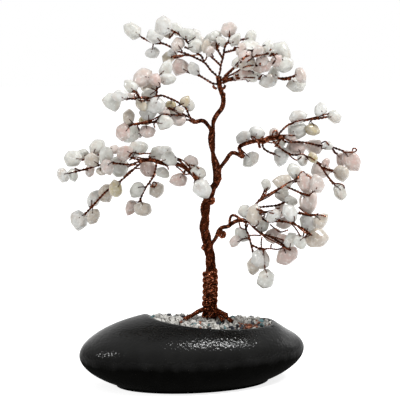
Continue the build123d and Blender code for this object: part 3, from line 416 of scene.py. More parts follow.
def cast_plaster(body):
    finish = Finish(bpy.data.materials.new("cast_plaster"))
    pores = finish.ramp(finish.grain(1.0 * MM, 4), 0.4, 0.75)
    colour = finish.mix(pores, body, tuple(c * 0.55 for c in body))
    return finish.close(Base_Color=colour, Roughness=0.9, Normal=finish.bump(pores, 0.2 * MM, 0.7))


# Reading the solids

def flood(seed, near):
    """Everything that can be reached from a seed."""
    found = {seed}
    todo = [seed]
    while todo:
        for other in near(todo.pop()):
            if other not in found:
                found.add(other)
                todo.append(other)
    return found


def merged(node):
    """Copy of a node's mesh with its loose triangles joined."""
    bm = bmesh.new()
    bm.from_mesh(FRAME["nodes"][node].data)
    bmesh.ops.remove_doubles(bm, verts=bm.verts, dist=MERGE)
    bm.normal_update()
    return bm


def neighbours(vert):
    return [edge.other_vert(vert) for edge in vert.link_edges]


def coplanar(face):
    return [other for edge in face.edges for other in edge.link_faces if other.normal.dot(face.normal) > FLAT]


def separate_solids(bm):
    """Corner sets of the solids in a mesh, in a settled order."""
    left = set(bm.verts)
    groups = []
    for vert in bm.verts:
        if vert in left:
            group = flood(vert, neighbours)
            left -= group
            groups.append(group)
    return groups


def mean(points):
    return sum(points, Vector()) / len(points)


def end_ring(group, sides, evenness):
    """Corners of the flat end of a wire: a face with as many corners as the wire has sides, evenly placed."""
    for vert in sorted(group, key=lambda v: v.index):
        for face in vert.link_faces:
            corners = {v for f in flood(face, coplanar) for v in f.verts}
            if len(corners) == sides:
                middle = mean([v.co for v in corners])
                reaches = [(v.co - middle).length for v in corners]
                if max(reaches) < evenness * min(reaches):
                    return corners
    raise RuntimeError("a wire has no flat end")


def middle_lines(node, sides, evenness=1.1):
    """Middle line of each wire in a node, read ring by ring from one end to the other."""
    bm = merged(node)
    lines = []
    for group in separate_solids(bm):
        ring = end_ring(group, sides, evenness)
        seen = set(ring)
        line = []
        while ring:
            line.append(mean([v.co for v in sorted(ring, key=lambda v: v.index)]))
            ring = {other for vert in ring for other in neighbours(vert)} - seen
            seen |= ring
        lines.append(line)
    bm.free()
    return lines


def chip_corners(node):
    """Corner points of each chip in a node."""
    bm = merged(node)
    chips = [[v.co.copy() for v in sorted(group, key=lambda v: v.index)] for group in separate_solids(bm)]
    bm.free()
    return chips


# Lines of wire

def smooth(points, step):
    """Points a step apart on a smooth curve through a line's points."""
    slopes = []
    for i in range(len(points)):
        before, after = points[max(0, i - 1)], points[min(len(points) - 1, i + 1)]
        slopes.append((after - before).normalized())
    fine = [points[0]]
    for i in range(len(points) - 1):
        reach = (points[i + 1] - points[i]).length
        count = max(2, math.ceil(reach / step) + 1)
        handles = (points[i] + slopes[i] * reach / 3, points[i + 1] - slopes[i + 1] * reach / 3)
        fine += geometry.interpolate_bezier(points[i], *handles, points[i + 1], count)[1:]
    return fine


def run_lengths(points):
    runs = [0.0]
    for a, b in zip(points, points[1:]):
        runs.append(runs[-1] + (b - a).length)
    return runs


def side_frames(points):
    """Two directions across a line at each point, without twist."""
    frames = []
    along = (points[1] - points[0]).normalized()
    first = along.orthogonal().normalized()
    for i in range(len(points)):
        before, after = points[max(0, i - 1)], points[min(len(points) - 1, i + 1)]
        ahead = (after - before).normalized()
        first = along.rotation_difference(ahead) @ first
        along = ahead
        frames.append((first.copy(), along.cross(first)))
    return frames


def twisted(points, count, radius, lay, start=0.0):
    """Wires laid up round a line. The radius may be a function of the run along it."""
    runs = run_lengths(points)
    frames = side_frames(points)
    wires = []
    for k in range(count):
        wire = []
        for point, run, (first, second) in zip(points, runs, frames):
            angle = start + 2 * math.pi * (k / count + run / lay)
            reach = radius(run) if callable(radius) else radius
            wire.append(point + reach * (first * math.cos(angle) + second * math.sin(angle)))
        wires.append(wire)
    return wires


def laid_up(points, *lays, start=0.0):
    """Wires of a rope: its cords twisted round its line, and each cord's wires round the cord."""
    lines = [points]
    for count, radius, lay in lays:
        lines = [wire for line in lines for wire in twisted(line, count, radius, lay, start)]
    return lines


def open_edges(bm):
    return [edge for edge in bm.edges if edge.is_boundary]


def wire_mesh(name, wires, roundness):
    """Mesh of round wires with closed ends, each given by its points, its diameter and its middle line."""
    curve = bpy.data.curves.new(name, "CURVE")
    curve.dimensions = "3D"
    curve.bevel_depth = 1.0
    curve.bevel_resolution = roundness
    for points, diameter, _ in wires:
        spline = curve.splines.new("POLY")
        spline.points.add(len(points) - 1)
        spline.points.foreach_set("co", [c for p in points for c in (*p, 1)])
        spline.points.foreach_set("radius", [diameter / 2] * len(points))
    holder = bpy.data.objects.new(name, curve)
    bpy.context.scene.collection.objects.link(holder)
    mesh = bpy.data.meshes.new_from_object(holder.evaluated_get(bpy.context.evaluated_depsgraph_get()))
    bpy.data.objects.remove(holder)
    bpy.data.curves.remove(curve)
    mesh.name = name
    mesh.shade_smooth()
    # Each point's height on its rope, which the copper uses for painted shade in the lays and painted glints
    # on the crests.
    lays = mesh.attributes.new("lay", "FLOAT", "POINT").data
    lays.foreach_set("value", lay_heights(mesh, wires))
    bm = bmesh.new()
    bm.from_mesh(mesh)
    bmesh.ops.holes_fill(bm, edges=open_edges(bm))
    bm.to_mesh(mesh)
    bm.free()
    return mesh


def lay_heights(mesh, wires):
    """How high each point of a wire mesh stands on its rope, from 0 in the lays to 1 on the crests."""
    sides = len(mesh.vertices) // sum(len(points) for points, _, _ in wires)
    heights = []
    for points, _, middles in wires:
        start = len(heights)
        reaches = [(mesh.vertices[start + i * sides + k].co - middle).length
                   for i, middle in enumerate(middles) for k in range(sides)]
        low, high = min(reaches), max(reaches)
        if high - low > MERGE:
            heights += [(reach - low) / (high - low) for reach in reaches]
        else:
            heights += [SINGLE_WIRE_LAY] * len(reaches)
    return heights


def finished(bm, name):
    """Mesh of a bmesh, which is then let go."""
    mesh = bpy.data.meshes.new(name)
    bm.to_mesh(mesh)
    bm.free()
    return mesh


def add_hull(bm, points):
    """Hull of some points, added to a bmesh. Gives its corners."""
    verts = [bm.verts.new(point) for point in points]
    hull = bmesh.ops.convex_hull(bm, input=verts)
    inside = {v for v in hull["geom_interior"] + hull["geom_unused"] if isinstance(v, bmesh.types.BMVert)}
    bmesh.ops.delete(bm, geom=list(inside), context="VERTS")
    return [vert for vert in verts if vert.is_valid]


def add_piece(name, mesh, look, replaced=(), body=None):
    """Object of a finished mesh, with its material, the nodes it replaces and the body it rides on."""
    mesh.materials.clear()
    mesh.materials.append(look)
    piece = bpy.data.objects.new(name, mesh)
    bpy.context.scene.collection.objects.link(piece)
    if replaced:
        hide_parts(*replaced)
    if body:
        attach(piece, body)
    return piece


def material(name, make):
    """A material by name, made when it is first asked for."""
    return bpy.data.materials.get(name) or make()


def copper():
    return material("worn_copper", lambda: copper_wire(bpy.context.scene.gem_wire))


def add_wires(name, wires, roundness=1, replaced=(), body=None):
    """Piece made of copper wires."""
    return add_piece(name, wire_mesh(name, wires, roundness), copper(), replaced, body)


def nearest_end_last(line, target):
    """Line turned so that its last point is the end nearest to a target."""
    return line if (line[-1] - target).length < (line[0] - target).length else line[::-1]


# Places read from the photograph, in its pixels

ROOT_TIPS_PX = {"crown": (232, 322), "upper_left": (188.5, 318), "lower_left": (227, 315.5),
                "upper_right": (184.5, 319.5), "lower_right": (223, 321)}
ROUTES_PX = {
    "upper_right": ((226.5, 159.5), (229.5, 155), (232.5, 152.7), (237.5, 154), (243, 156.8), (242, 153.8),
                    (239.8, 149.8), (239.6, 147), (243, 144.6), (249, 142.6)),
    "lower_right": ((217.2, 234.5), (218.6, 231), (222, 227.6), (228, 226.3), (231, 224), (235, 221.6),
                    (240.5, 219.9)),
}
STUBS_PX = {
    "crown": (((223, 97.5), (224.5, 95.5), (224, 93)), ((216.5, 88.5), (214, 87.5), (213, 85.5)),
              ((221.5, 88.5), (224, 88), (225, 85.5))),
    "upper_left": (),
    "lower_left": (),
    "upper_right": (((258.5, 142.5), (259.3, 145.5), (260, 148)),),
    "lower_right": (((229.5, 226), (229.8, 220), (231.3, 215.9), (234.5, 215.4), (238, 217.4), (241, 219.8)),
                    ((217.5, 235.5), (219.6, 232.6), (222, 231.4), (224.4, 232.6), (225, 235), (223.6, 237),
                     (221, 237), (219.8, 235.2), (221.2, 233.4), (223.4, 233.9), (223.2, 235.4),
                     (221.8, 235))),
}
LOOSE_PX = {
    "crown": (((223, 79), (236, 72), (246, 66.5), (261, 65)), ((236, 68), (242, 60.5), (247, 55)),
              ((247, 62), (254, 57), (264, 54.5), (274, 53.3)), ((266, 54.2), (270, 50.5), (271, 49)),
              ((200, 54.5), (190, 55.5), (180, 55.2), (171, 56.5)), ((223, 83.5), (229, 80.8), (240, 78.5)),
              ((222.5, 81), (228, 76.5), (233, 74.5), (238, 76)),
              ((226, 78.5), (233, 77), (241, 73.5)), ((276, 77), (284, 79.8), (291, 78.3)),
              ((229, 71.5), (226, 75), (223, 80)), ((204, 61.5), (206.5, 58), (207, 54)),
              ((224, 76), (234.5, 66.2), (242, 58.8), (249.5, 55.5)), ((254.6, 67.3), (258, 65), (261, 63)),
              ((272.5, 64.1), (274, 62), (275.3, 60.3)),
              ((225, 80), (236.6, 77.8), (249.3, 77.6), (261, 78.2))),
    "upper_left": (((135, 99.5), (142, 100.8), (150, 100.5)), ((138, 97.5), (144, 97), (151, 98)),
                   ((131.6, 124.2), (142, 122.3), (152, 120), (162.2, 114.9), (172, 114.5), (182, 115.5)),
                   ((186, 117), (178, 113.5), (170, 108)), ((158, 119), (154, 124), (155, 128))),
    "lower_left": (((199, 179.5), (193, 172.5), (189, 166.5), (185, 161.8), (180, 159), (175, 157.5)),
                   ((196, 177), (188.5, 169), (182, 162.5), (177, 160)),
                   ((197, 178.5), (190, 174), (185, 174.3), (181, 170), (176, 166.3)),
                   ((191, 165), (196, 166.7), (199, 168.8)),
                   ((168.5, 169.8), (167.3, 166.5), (161, 164), (155, 162.5)),
                   ((151, 153.6), (146, 153.4), (140, 153.8), (133, 152.8), (128.5, 156.8)),
                   ((151, 160), (143, 158.6), (136, 157), (129.5, 160)),
                   ((140, 165), (133, 165), (127.5, 167)),
                   ((150, 186), (153, 187), (156, 185.5), (156, 183), (154, 182), (152.5, 183.5), (153, 186)),
                   ((140, 168.4), (135, 168.6), (130, 171), (124, 177))),
    "upper_right": (((252, 139), (251.5, 136.5), (255, 138), (259, 142.5), (264, 143.5)),
                    ((263.5, 136.3), (261, 139), (264, 143), (268, 141)),
                    ((274, 136), (267, 136.8), (265.5, 140.5), (273, 142.8), (280, 140)),
                    ((344, 152), (349, 152.4), (353.5, 152), (356.5, 150.5), (355.5, 148.5), (353, 148.7),
                     (352.4, 151)),
                    ((328, 176.7), (334.8, 183.4), (338.6, 183.6), (343.3, 185.3), (344.7, 188.5)),
                    ((302.5, 153.9), (312, 158.6), (321.5, 164.4)),
                    ((240, 145.6), (250, 142.8), (261, 139.2), (278, 135.4), (295, 135.6)),
                    ((262.5, 142.8), (278, 138.2), (285.5, 138.9), (291.5, 141.8)),
                    ((272, 137), (273.5, 131.5), (276.5, 131), (277.5, 135.5)),
                    ((278, 134), (288.5, 125), (295, 121.8), (310, 118.6), (329, 113.6)),
                    ((309, 119.4), (318, 118), (326, 117.4)), ((321, 143.4), (325.5, 141.5), (329, 145.3)),
                    ((287.5, 152.5), (292, 157.5), (297, 160), (301.5, 156.5))),
    "lower_right": (((239, 221), (239.8, 225.5), (241, 228), (245, 229.3), (247, 227), (248, 224)),
                    ((248.5, 235.5), (254, 235.2), (261, 235.6)), ((262, 237), (261.2, 243), (261.6, 248)),
                    ((263.5, 250), (266.5, 248.7), (271, 248.6), (277, 249.4), (281, 248.4), (284, 247)),
                    ((271, 248), (271, 245.5), (272, 244.3)),
                    ((259, 209.5), (263, 211), (260, 214), (265, 215), (262, 217.5)),
                    ((246.4, 220.5), (260.6, 233.8), (277.7, 243.3), (289.1, 250)),
                    ((262.5, 234.7), (274, 237), (284.4, 240.4)),
                    ((290.1, 222.4), (296, 229), (300.6, 236.6)),
                    ((293, 221.4), (300, 228.5), (308.2, 234.7)),
                    ((298.7, 211.9), (306, 214), (313.9, 214.8)),
                    ((287.2, 187.2), (297, 191.4), (308.2, 194.8)),
                    ((270.1, 224.3), (275, 228.5), (280.6, 231.9), (288.2, 230)),
                    ((255, 204.5), (263, 198), (272, 192.8), (281, 187.2), (290, 182), (299, 178)),
                    ((258, 202), (268, 196.8), (277, 190.8), (286, 184.5)),
                    ((262.5, 198), (266, 193), (266.4, 188.5)),
                    ((297, 178.6), (302.5, 171.8), (307, 174.8), (312, 178.6)),
                    ((256, 209), (264, 211.6), (272, 210.4), (280, 208)),
                    ((259, 213.4), (266, 212), (274, 213.6)),
                    ((298.6, 207), (304, 211.6), (310, 214.6), (318.6, 214.8), (326, 216.4))),
}
LOOSE_BOW = 0.14
LOOSE_OVER_CHIPS = 0.35 * MM
LOOSE_EASING = 3
TRUNK_KNOBS_PX = (((206, 244.5), (203.6, 245.4), (202.4, 247.2), (203.3, 249.2), (204.8, 248.6), (204, 247)),
                  ((210.5, 204), (212.8, 202.8), (214, 200.4), (213.2, 198), (211.4, 197.6), (212.2, 199.6),
                   (211.6, 201.6)),
                  ((217.5, 181), (220.5, 179), (219, 176)))


def sight(px, py):
    """Line of sight through a place in the photograph, one metre deep along the view."""
    half = PICTURE_SIDE_PX / 2
    return AHEAD + (RIGHT * (px - half) + RISE * (half - py)) * METRES_PER_PX / VIEW_DISTANCE


def eye():
    """Place that the photograph was taken from."""
    return TRUNK_FOOT - sight(*TRUNK_FOOT_PX) * VIEW_DISTANCE


def seen_at(point):
    """Place of a point in the photograph, in its pixels."""
    away = point - eye()
    scale = VIEW_DISTANCE / METRES_PER_PX / away.dot(AHEAD)
    half = PICTURE_SIDE_PX / 2
    return Vector((half + away.dot(RIGHT) * scale, half - away.dot(RISE) * scale))


def beside(place, carriers, forward=0.0):
    """Point seen at a place in the photograph, as deep as the carrier that is seen nearest to it."""
    nearest = min(carriers, key=lambda point: (seen_at(point) - Vector(place)).length)
    depth = (nearest - eye()).dot(AHEAD) - forward
    return eye() + sight(*place) * depth


def strung(route, carriers, forward):
    """Points seen along a route in the photograph, bowed between the carriers nearest to its ends."""
    ends = (beside(place, carriers, forward) for place in (route[0], route[-1]))
    first, last = ((end - eye()).dot(AHEAD) for end in ends)
    runs = run_lengths([Vector(place) for place in route])
    points = []
    for place, run in zip(route, runs):
        share = run / runs[-1]
        bow = LOOSE_BOW * runs[-1] * METRES_PER_PX * math.sin(math.pi * share)
        points.append(eye() + sight(*place) * (first + (last - first) * share - bow))
    return points


def over_chips(line, chips):
    """Line of a loose wire, drawn nearer to the eye wherever a chip would hide it."""
    start = eye()
    depths = []
    for point in line:
        depth = (point - start).length
        way = (point - start) / depth
        for middle, reach in chips:
            along = (middle - start).dot(way)
            aside = (middle - start - way * along).length
            if aside < reach and depth > along - 2 * reach:
                depth = min(depth, along - math.sqrt(reach * reach - aside * aside) - LOOSE_OVER_CHIPS)
        depths.append(depth)
    eased = []
    for i, point in enumerate(line):
        near = depths[max(0, i - LOOSE_EASING):i + LOOSE_EASING + 1]
        eased.append(start + (point - start).normalized() * sum(near) / len(near))
    return eased


def on_bed(place, height):
    """Point a little above the gravel, seen at a place in the photograph."""
    way = sight(*place)
    drop = (MOUTH_MIDDLE + MOUTH_UP * height - eye()).dot(MOUTH_UP)
    return eye() + way * (drop / way.dot(MOUTH_UP))


# Trunk and boughs

ROPE_STEP = 0.8 * MM
SPRAY_STEP = 0.7 * MM
ROOT_HEIGHT = 6.5 * MM
ROOT_LIFT = 0.7 * MM
FRAY_RUN = 6 * MM
FRAY_GROWTH = 0.5
ROOT_BULGE = 0.4 * MM
ROUTE_MARGIN_PX = 3
# Cords in a rope, and the share that its radius grows by once it has left the trunk
BOUGH_ROPE = (5, 0.18)
CROWN_ROPE = (6, 0.45)
GROWTH_RUN = 3 * MM
CORD_WIRES = 3
ROPE_TURN = 0.4
BEND_REACH = 1.6 * MM
CORE_CORDS = 4
CORE_GROWTH = 1.15
CORE_FADE = 15 * MM
CORE_STEP = 3 * MM
CORE_LEAST_WEIGHT = 1e-6
STUB_WIRES = 3
STUB_RADIUS_SHARE = 0.6
STUB_WIRE_SHARE = 1.7
KNOB_FORWARD = 0.5 * MM
WRAP_WIRES = 8
WRAP_ROUNDNESS = 2
WRAP_LAY = 16 * MM
WRAP_HALF_HEIGHT = 1.45 * MM
WRAP_HALF_DEPTH = 0.7 * MM
WRAP_LOWER_TURNS = 2
WRAP_FLARE = 0.16
WRAP_UPPER_TURNS = 0.8
WRAP_UPPER_RISE = 2.9 * MM
WRAP_TUCK = 1.6 * MM
WRAP_TUCK_RUN = 7 * MM
WRAP_TUCK_SQUEEZE = 0.6


def rope_lines(name):
    """Middle line of a bough's rope up to its bend, and the line on from the bend."""
    bend = BENDS[name]
    strand = nearest_end_last(middle_lines(f"{name}_strand", STRAND_SIDES)[0], bend)
    bundle = nearest_end_last(middle_lines(f"{name}_bundle", STRAND_SIDES)[0], bend)[::-1]
    top = next(i for i, point in enumerate(strand) if point.z > TRUNK_FOOT.z + ROOT_HEIGHT)
    tip = on_bed(ROOT_TIPS_PX[name], ROOT_LIFT)
    root = [tip, tip.lerp(strand[top], 0.5) + UP * ROOT_BULGE]
    if name in ROUTES_PX:
        carriers = smooth(bundle, ROPE_STEP)
        route = [beside(place, carriers) for place in ROUTES_PX[name]]
        far = max(seen_at(point).x for point in route)
        bundle = bundle[:1] + route + [point for point in bundle if seen_at(point).x > far + ROUTE_MARGIN_PX]
    return root + strand[top:-1] + [bend], [bend] + bundle[1:]


def stub(route, settings):
    """Wires of a short thick end that is left standing off a rope."""
    line = smooth(route, SPRAY_STEP / 2)
    wires = laid_up(line, (STUB_WIRES, settings.rope_radius * STUB_RADIUS_SHARE, settings.rope_lay / 2))
    return [(wire, settings.rope_wire * STUB_WIRE_SHARE, line) for wire in wires]


class GEMTREE_OT_ropes(bpy.types.Operator):
    """Lay up each bough's rope of wires, from its root through the trunk and out along the bough"""

    bl_idname = "gem_tree.ropes"
    bl_label = "Trunk and bough ropes"

    def execute(self, context):
        settings = context.scene.gem_wire
        strands = {}
        for name in BOUGHS:
            below, above = rope_lines(name)
            strands[name] = below
            wires = self.lay_up(smooth(below + above[1:], ROPE_STEP), name, settings)
            piece = add_wires(f"{name}_rope", wires, replaced=(f"{name}_strand", f"{name}_bundle"))
            bend = BENDS[name]
            reach = (above[1] - below[-2]).normalized() * BEND_REACH
            bend - reach
            bend + reach
            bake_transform(piece)
        line = self.core_line(strands)
        wires = [(wire, settings.rope_wire, line) for wire in
                 laid_up(line, (CORE_CORDS, settings.rope_radius * CORE_GROWTH, settings.rope_lay),
                         (CORD_WIRES, settings.cord_radius, settings.cord_lay))]
        trunk = [point for strand in strands.values() for point in smooth(strand, ROPE_STEP)]
        for route in TRUNK_KNOBS_PX:
            wires += stub([beside(place, trunk, KNOB_FORWARD) for place in route], settings)
        add_wires("trunk_core", wires, body="base")
        return {"FINISHED"}

    def lay_up(self, line, name, settings):
        """Wires of a bough's rope, which is thicker where it has left the trunk."""
        runs = run_lengths(line)
        cords, growth = CROWN_ROPE if name == "crown" else BOUGH_ROPE
        leaving = BENDS["upper_left" if name == "crown" else name]
        left = runs[min(range(len(line)), key=lambda i: (line[i] - leaving).length)]

        def radius(run):
            fray = max(0.0, 1 - min(run, runs[-1] - run) / FRAY_RUN)
            grown = growth * min(1.0, max(0.0, (run - left) / GROWTH_RUN))
            return settings.rope_radius * (1 + FRAY_GROWTH * fray * fray + grown)

        wires = laid_up(line, (cords, radius, settings.rope_lay),
                        (CORD_WIRES, settings.cord_radius, settings.cord_lay),
                        start=ROPE_TURN * BOUGHS.index(name))
        return [(wire, settings.rope_wire, line) for wire in wires]

    def core_line(self, strands):
        """Middle of the strands that are still in the trunk, from its foot up to its last fork."""
        fine = {name: smooth(line, ROPE_STEP) for name, line in strands.items()}
        level = TRUNK_FOOT.z + ROOT_HEIGHT
        line = []
        while level < BENDS["upper_left"].z:
            weights, points = [], []
            for name, strand in fine.items():
                weight = min(1.0, max(0.0, (BENDS[name].z - level) / CORE_FADE)) + CORE_LEAST_WEIGHT
                weights.append(weight)
                points.append(min(strand, key=lambda point: abs(point.z - level)) * weight)
            line.append(sum(points, Vector()) / sum(weights))
            level += CORE_STEP
        return smooth(line, ROPE_STEP)


class GEMTREE_OT_wrap(bpy.types.Operator):
    """Wind the ribbon of wires round the foot of the trunk"""

    bl_idname = "gem_tree.wrap"
    bl_label = "Trunk wrap"

    def execute(self, context):
        settings = context.scene.gem_wire
        line = middle_lines("trunk_wrap", STRAND_SIDES, RIBBON_EVENNESS)[0]
        if line[0].z > line[-1].z:
            line = line[::-1]
        low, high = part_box("trunk_wrap")
        middle = (low + high) / 2
        drop = TRUNK_FOOT.z - line[0].z
        lower = self.turns_on(line[::-1], middle, WRAP_LOWER_TURNS, drop, WRAP_FLARE)
        upper = self.turns_on(line, middle, WRAP_UPPER_TURNS, WRAP_UPPER_RISE)
        fine = smooth(lower[::-1] + line + upper, ROPE_STEP)
        runs = run_lengths(fine)
        axis = [Vector((middle.x, middle.y, point.z)) for point in fine]
        wires = []
        for k in range(WRAP_WIRES):
            wire = []
            for point, run in zip(fine, runs):
                outward = Vector((point.x - middle.x, point.y - middle.y, 0)).normalized()
                angle = 2 * math.pi * (k / WRAP_WIRES + run / WRAP_LAY)
                tuck = max(0.0, 1 - (runs[-1] - run) / WRAP_TUCK_RUN) ** 2
                squeeze = 1 - WRAP_TUCK_SQUEEZE * tuck
                rise = WRAP_HALF_HEIGHT * math.cos(angle) * squeeze
                depth = WRAP_HALF_DEPTH * math.sin(angle) * squeeze - WRAP_TUCK * tuck
                wire.append(point + UP * rise + outward * depth)
            wires.append((wire, settings.wrap_wire, axis))
        add_wires("trunk_wrap_wires", wires, WRAP_ROUNDNESS, ("trunk_wrap",), "base")
        return {"FINISHED"}

    def turns_on(self, line, middle, count, rise, flare=0.0):
        """Points that carry the winding on past its last point."""
        away, before = line[-1] - middle, line[-2] - middle
        reach = math.hypot(away.x, away.y)
        start = math.atan2(away.y, away.x)
        turned = math.remainder(start - math.atan2(before.y, before.x), 2 * math.pi)
        steps = math.ceil(count * 2 * math.pi / abs(turned))
        points = []
        for i in range(1, steps + 1):
            angle = start + turned * i
            wide = reach * (1 + flare * i / steps)
            points.append(Vector((middle.x + wide * math.cos(angle), middle.y + wide * math.sin(angle),
                                  line[-1].z + rise * i / steps)))
        return points


SPRAY_SINK = 1.3 * MM
STUB_FORWARD = 0.8 * MM
LOOSE_FORWARD = 0.7 * MM


class GEMTREE_OT_sprays(bpy.types.Operator):
    """Twist the sprays that each bough divides into"""

    bl_idname = "gem_tree.sprays"
    bl_label = "Sprays"

    def execute(self, context):
        settings = context.scene.gem_wire
        for name in BOUGHS:
            wires = []
            carriers = smooth(middle_lines(f"{name}_bundle", STRAND_SIDES)[0], SPRAY_STEP)
            for index, line in enumerate(middle_lines(f"{name}_sprays", SPRAY_SIDES)):
                start = line[0] + (line[0] - line[1]).normalized() * SPRAY_SINK
                end = line[-1] + (line[-1] - line[-2]).normalized() * SPRAY_SINK
                fine = smooth([start] + line + [end], SPRAY_STEP)
                carriers += fine
                lays = laid_up(fine, (2, settings.spray_radius, settings.spray_lay),
                               (2, settings.spray_wire / 2, settings.spray_lay / 2), start=index)
                wires += [(wire, settings.spray_wire, fine) for wire in lays]
            wires += self.loose(name, carriers, context.scene.gem_stone.swell, settings)
            add_wires(f"{name}_spray_wires", wires, replaced=(f"{name}_sprays",), body=f"{name}_bough")
        return {"FINISHED"}

    def loose(self, name, carriers, swell, settings):
        """Ends and side wires that stand off a bough."""
        wires = []
        chips = []
        for tint in TINTS:
            for corners in chip_corners(f"{name}_{tint}_chips"):
                middle = mean(corners)
                chips.append((middle, swell * sum((c - middle).length for c in corners) / len(corners)))
        for route in STUBS_PX[name]:
            wires += stub([beside(place, carriers, STUB_FORWARD) for place in route], settings)
        for route in LOOSE_PX[name]:
            line = over_chips(smooth(strung(route, carriers, LOOSE_FORWARD), SPRAY_STEP / 2), chips)
            lays = laid_up(line, (2, settings.spray_wire / 2, settings.spray_lay / 2))
            wires += [(wire, settings.spray_wire, line) for wire in lays]
        return wires


STEM_STEP = 0.3 * MM
STEM_SINK = 0.9 * MM
LEG_SHARES = ((0.86, 0.62), (0.45, 1.02))
LEG_LAST_SHARE = 0.08
BORE_SHARE = 0.3


class GEMTREE_OT_stems(bpy.types.Operator):
    """Thread a pair of wires through every chip and twist them together down to the spray"""

    bl_idname = "gem_tree.stems"
    bl_label = "Stems"

    def execute(self, context):
        settings = context.scene.gem_wire
        for name in BOUGHS:
            nodes = [f"{name}_{tint}_chips" for tint in TINTS]
            middles = [mean(corners) for node in nodes for corners in chip_corners(node)]
            wires = []
            for line in middle_lines(f"{name}_stems", STEM_SIDES):
                wires += [(wire, settings.stem_wire, wire) for wire in self.thread(line, middles, settings)]
            add_wires(f"{name}_stem_wires", wires, replaced=(f"{name}_stems",), body=f"{name}_bough")
        return {"FINISHED"}

    def thread(self, line, middles, settings):
        """Two wires from the spray to the chip, and on over and under it into its bore."""
        def apart(a, b):
            return min(((a + b) / 2 - m).length for m in middles)

        if apart(line[-1], line[-2]) < apart(line[0], line[1]):
            line = line[::-1]
        tail, head, edge, hook = line[0], line[1], line[2], line[-1]
        face = (head - tail).normalized()
        half = ((head - tail).length - HOOK_SPAN) / 2
        bore = tail + face * (half + HOOK_TAIL)
        reach = edge - head
        neck = bore + reach
        root = hook + (hook - neck).normalized() * STEM_SINK
        stalk = smooth([root, hook, neck], STEM_STEP)
        pair = twisted(stalk, 2, settings.stem_wire / 2, settings.stem_lay)
        legs = []
        for side, wire in zip((1, -1), pair):
            lift = face * side
            way = [bore + reach * out + lift * half * up for out, up in LEG_SHARES]
            way += [bore + reach * LEG_LAST_SHARE + lift * (half + settings.stem_wire),
                    bore + lift * half * BORE_SHARE]
            legs.append(wire[:-1] + smooth(wire[-1:] + way, STEM_STEP))
        return legs


# Chips

CREASE_LEAST = 0.2
CHIP_STRETCH = 1.08
FULLNESS = 0.2
FULLNESS_GRAIN = 4 * MM
DENTS = ((5.5 * MM, 1.0), (2.2 * MM, 0.35))


class GEMTREE_OT_stones(bpy.types.Operator):
    """Round the drilled chips into tumbled stones"""

    bl_idname = "gem_tree.stones"
    bl_label = "Tumbled chips"

    def execute(self, context):
        settings = context.scene.gem_stone
        bodies = {"clear": (settings.milk, settings.snow), "rose": (settings.blush, settings.rose),
                  "honey": (settings.smoke, settings.honey)}
        for name in BOUGHS:
            for tint in TINTS:
                node = f"{name}_{tint}_chips"
                look = material(f"tumbled_{tint}", lambda: quartz(f"tumbled_{tint}", *bodies[tint], settings))
                add_piece(f"{name}_{tint}_stones", self.tumble(node, settings), look,
                          (node,), f"{name}_bough")
        return {"FINISHED"}

    def tumble(self, node, settings):
        """Mesh of a node's chips, rounded and dented."""
        bm = bmesh.new()
        shade = bm.verts.layers.float.new("stone_shade")
        heart = bm.verts.layers.float_vector.new("stone_middle")
        size = bm.verts.layers.float.new("stone_half")
        dice = random.Random(node)
        for corners in chip_corners(node):
            middle = mean(corners)
            moved = self.misshape(corners, middle, dice, settings)
            half = max((point - middle).length for point in moved)
            worth = dice.random()
            for vert in add_hull(bm, moved):
                vert[shade] = worth
                vert[heart] = middle
                vert[size] = half
        bmesh.ops.dissolve_limit(bm, angle_limit=math.radians(2), verts=bm.verts, edges=bm.edges)
        bmesh.ops.recalc_face_normals(bm, faces=bm.faces)
        crease = bm.edges.layers.float.new("crease_edge")
        for edge in bm.edges:
            edge[crease] = settings.crispness * dice.uniform(CREASE_LEAST, 1)
        return self.dent(rounded(finished(bm, node)), settings)

    def misshape(self, corners, middle, dice, settings):
        """Corners of a chip moved so that no two are alike: one end slimmer, one side fuller."""
        along = max((c - middle for c in corners), key=lambda away: away.length)
        half = along.length
        along.normalize()
        taper = dice.uniform(-settings.taper, settings.taper)
        moved = []
        for corner in corners:
            away = corner - middle
            core = along * away.dot(along)
            across = (away - core) * (1 + taper * away.dot(along) / half)
            fuller = 1 + FULLNESS * noise.noise(corner / FULLNESS_GRAIN)
            moved.append(middle + (core * CHIP_STRETCH + across) * settings.swell * fuller)
        return moved

    def dent(self, mesh, settings):
        """Shallow dents, and how near to its chip's rim each point lies, for the painted shade at the rim."""
        middles = [Vector(item.vector) for item in mesh.attributes["stone_middle"].data]
        halves = [item.value for item in mesh.attributes["stone_half"].data]
        rim_shades = []
        for vert, middle, half in zip(mesh.vertices, middles, halves):
            rim_shades.append((vert.co - middle).length / half)
            height = sum(noise.noise(vert.co / grain) * share for grain, share in DENTS)
            vert.co += vert.normal * height * settings.unevenness
        mesh.attributes.remove(mesh.attributes["stone_middle"])
        mesh.attributes.remove(mesh.attributes["stone_half"])
        mesh.attributes.new("stone_rim", "FLOAT", "POINT").data.foreach_set("value", rim_shades)
        mesh.shade_smooth()
        return mesh


def rounded(mesh):
    """Mesh after two rounds of subdivision."""
    holder = bpy.data.objects.new("rounding", mesh)
    bpy.context.scene.collection.objects.link(holder)
    smoother = holder.modifiers.new("rounding", "SUBSURF")
    smoother.levels = smoother.render_levels = 2
    result = bpy.data.meshes.new_from_object(holder.evaluated_get(bpy.context.evaluated_depsgraph_get()))
    bpy.data.objects.remove(holder)
    bpy.data.meshes.remove(mesh)
    return result


# Pot, plaster and gravel

def in_mouth(point):
    """Place of a point in the mouth's own ellipse, as shares of its half axes."""
    away = point - MOUTH_MIDDLE
    return away.dot(MOUTH_ALONG) / MOUTH_HALF_LENGTH, away.dot(ACROSS) / MOUTH_HALF_WIDTH


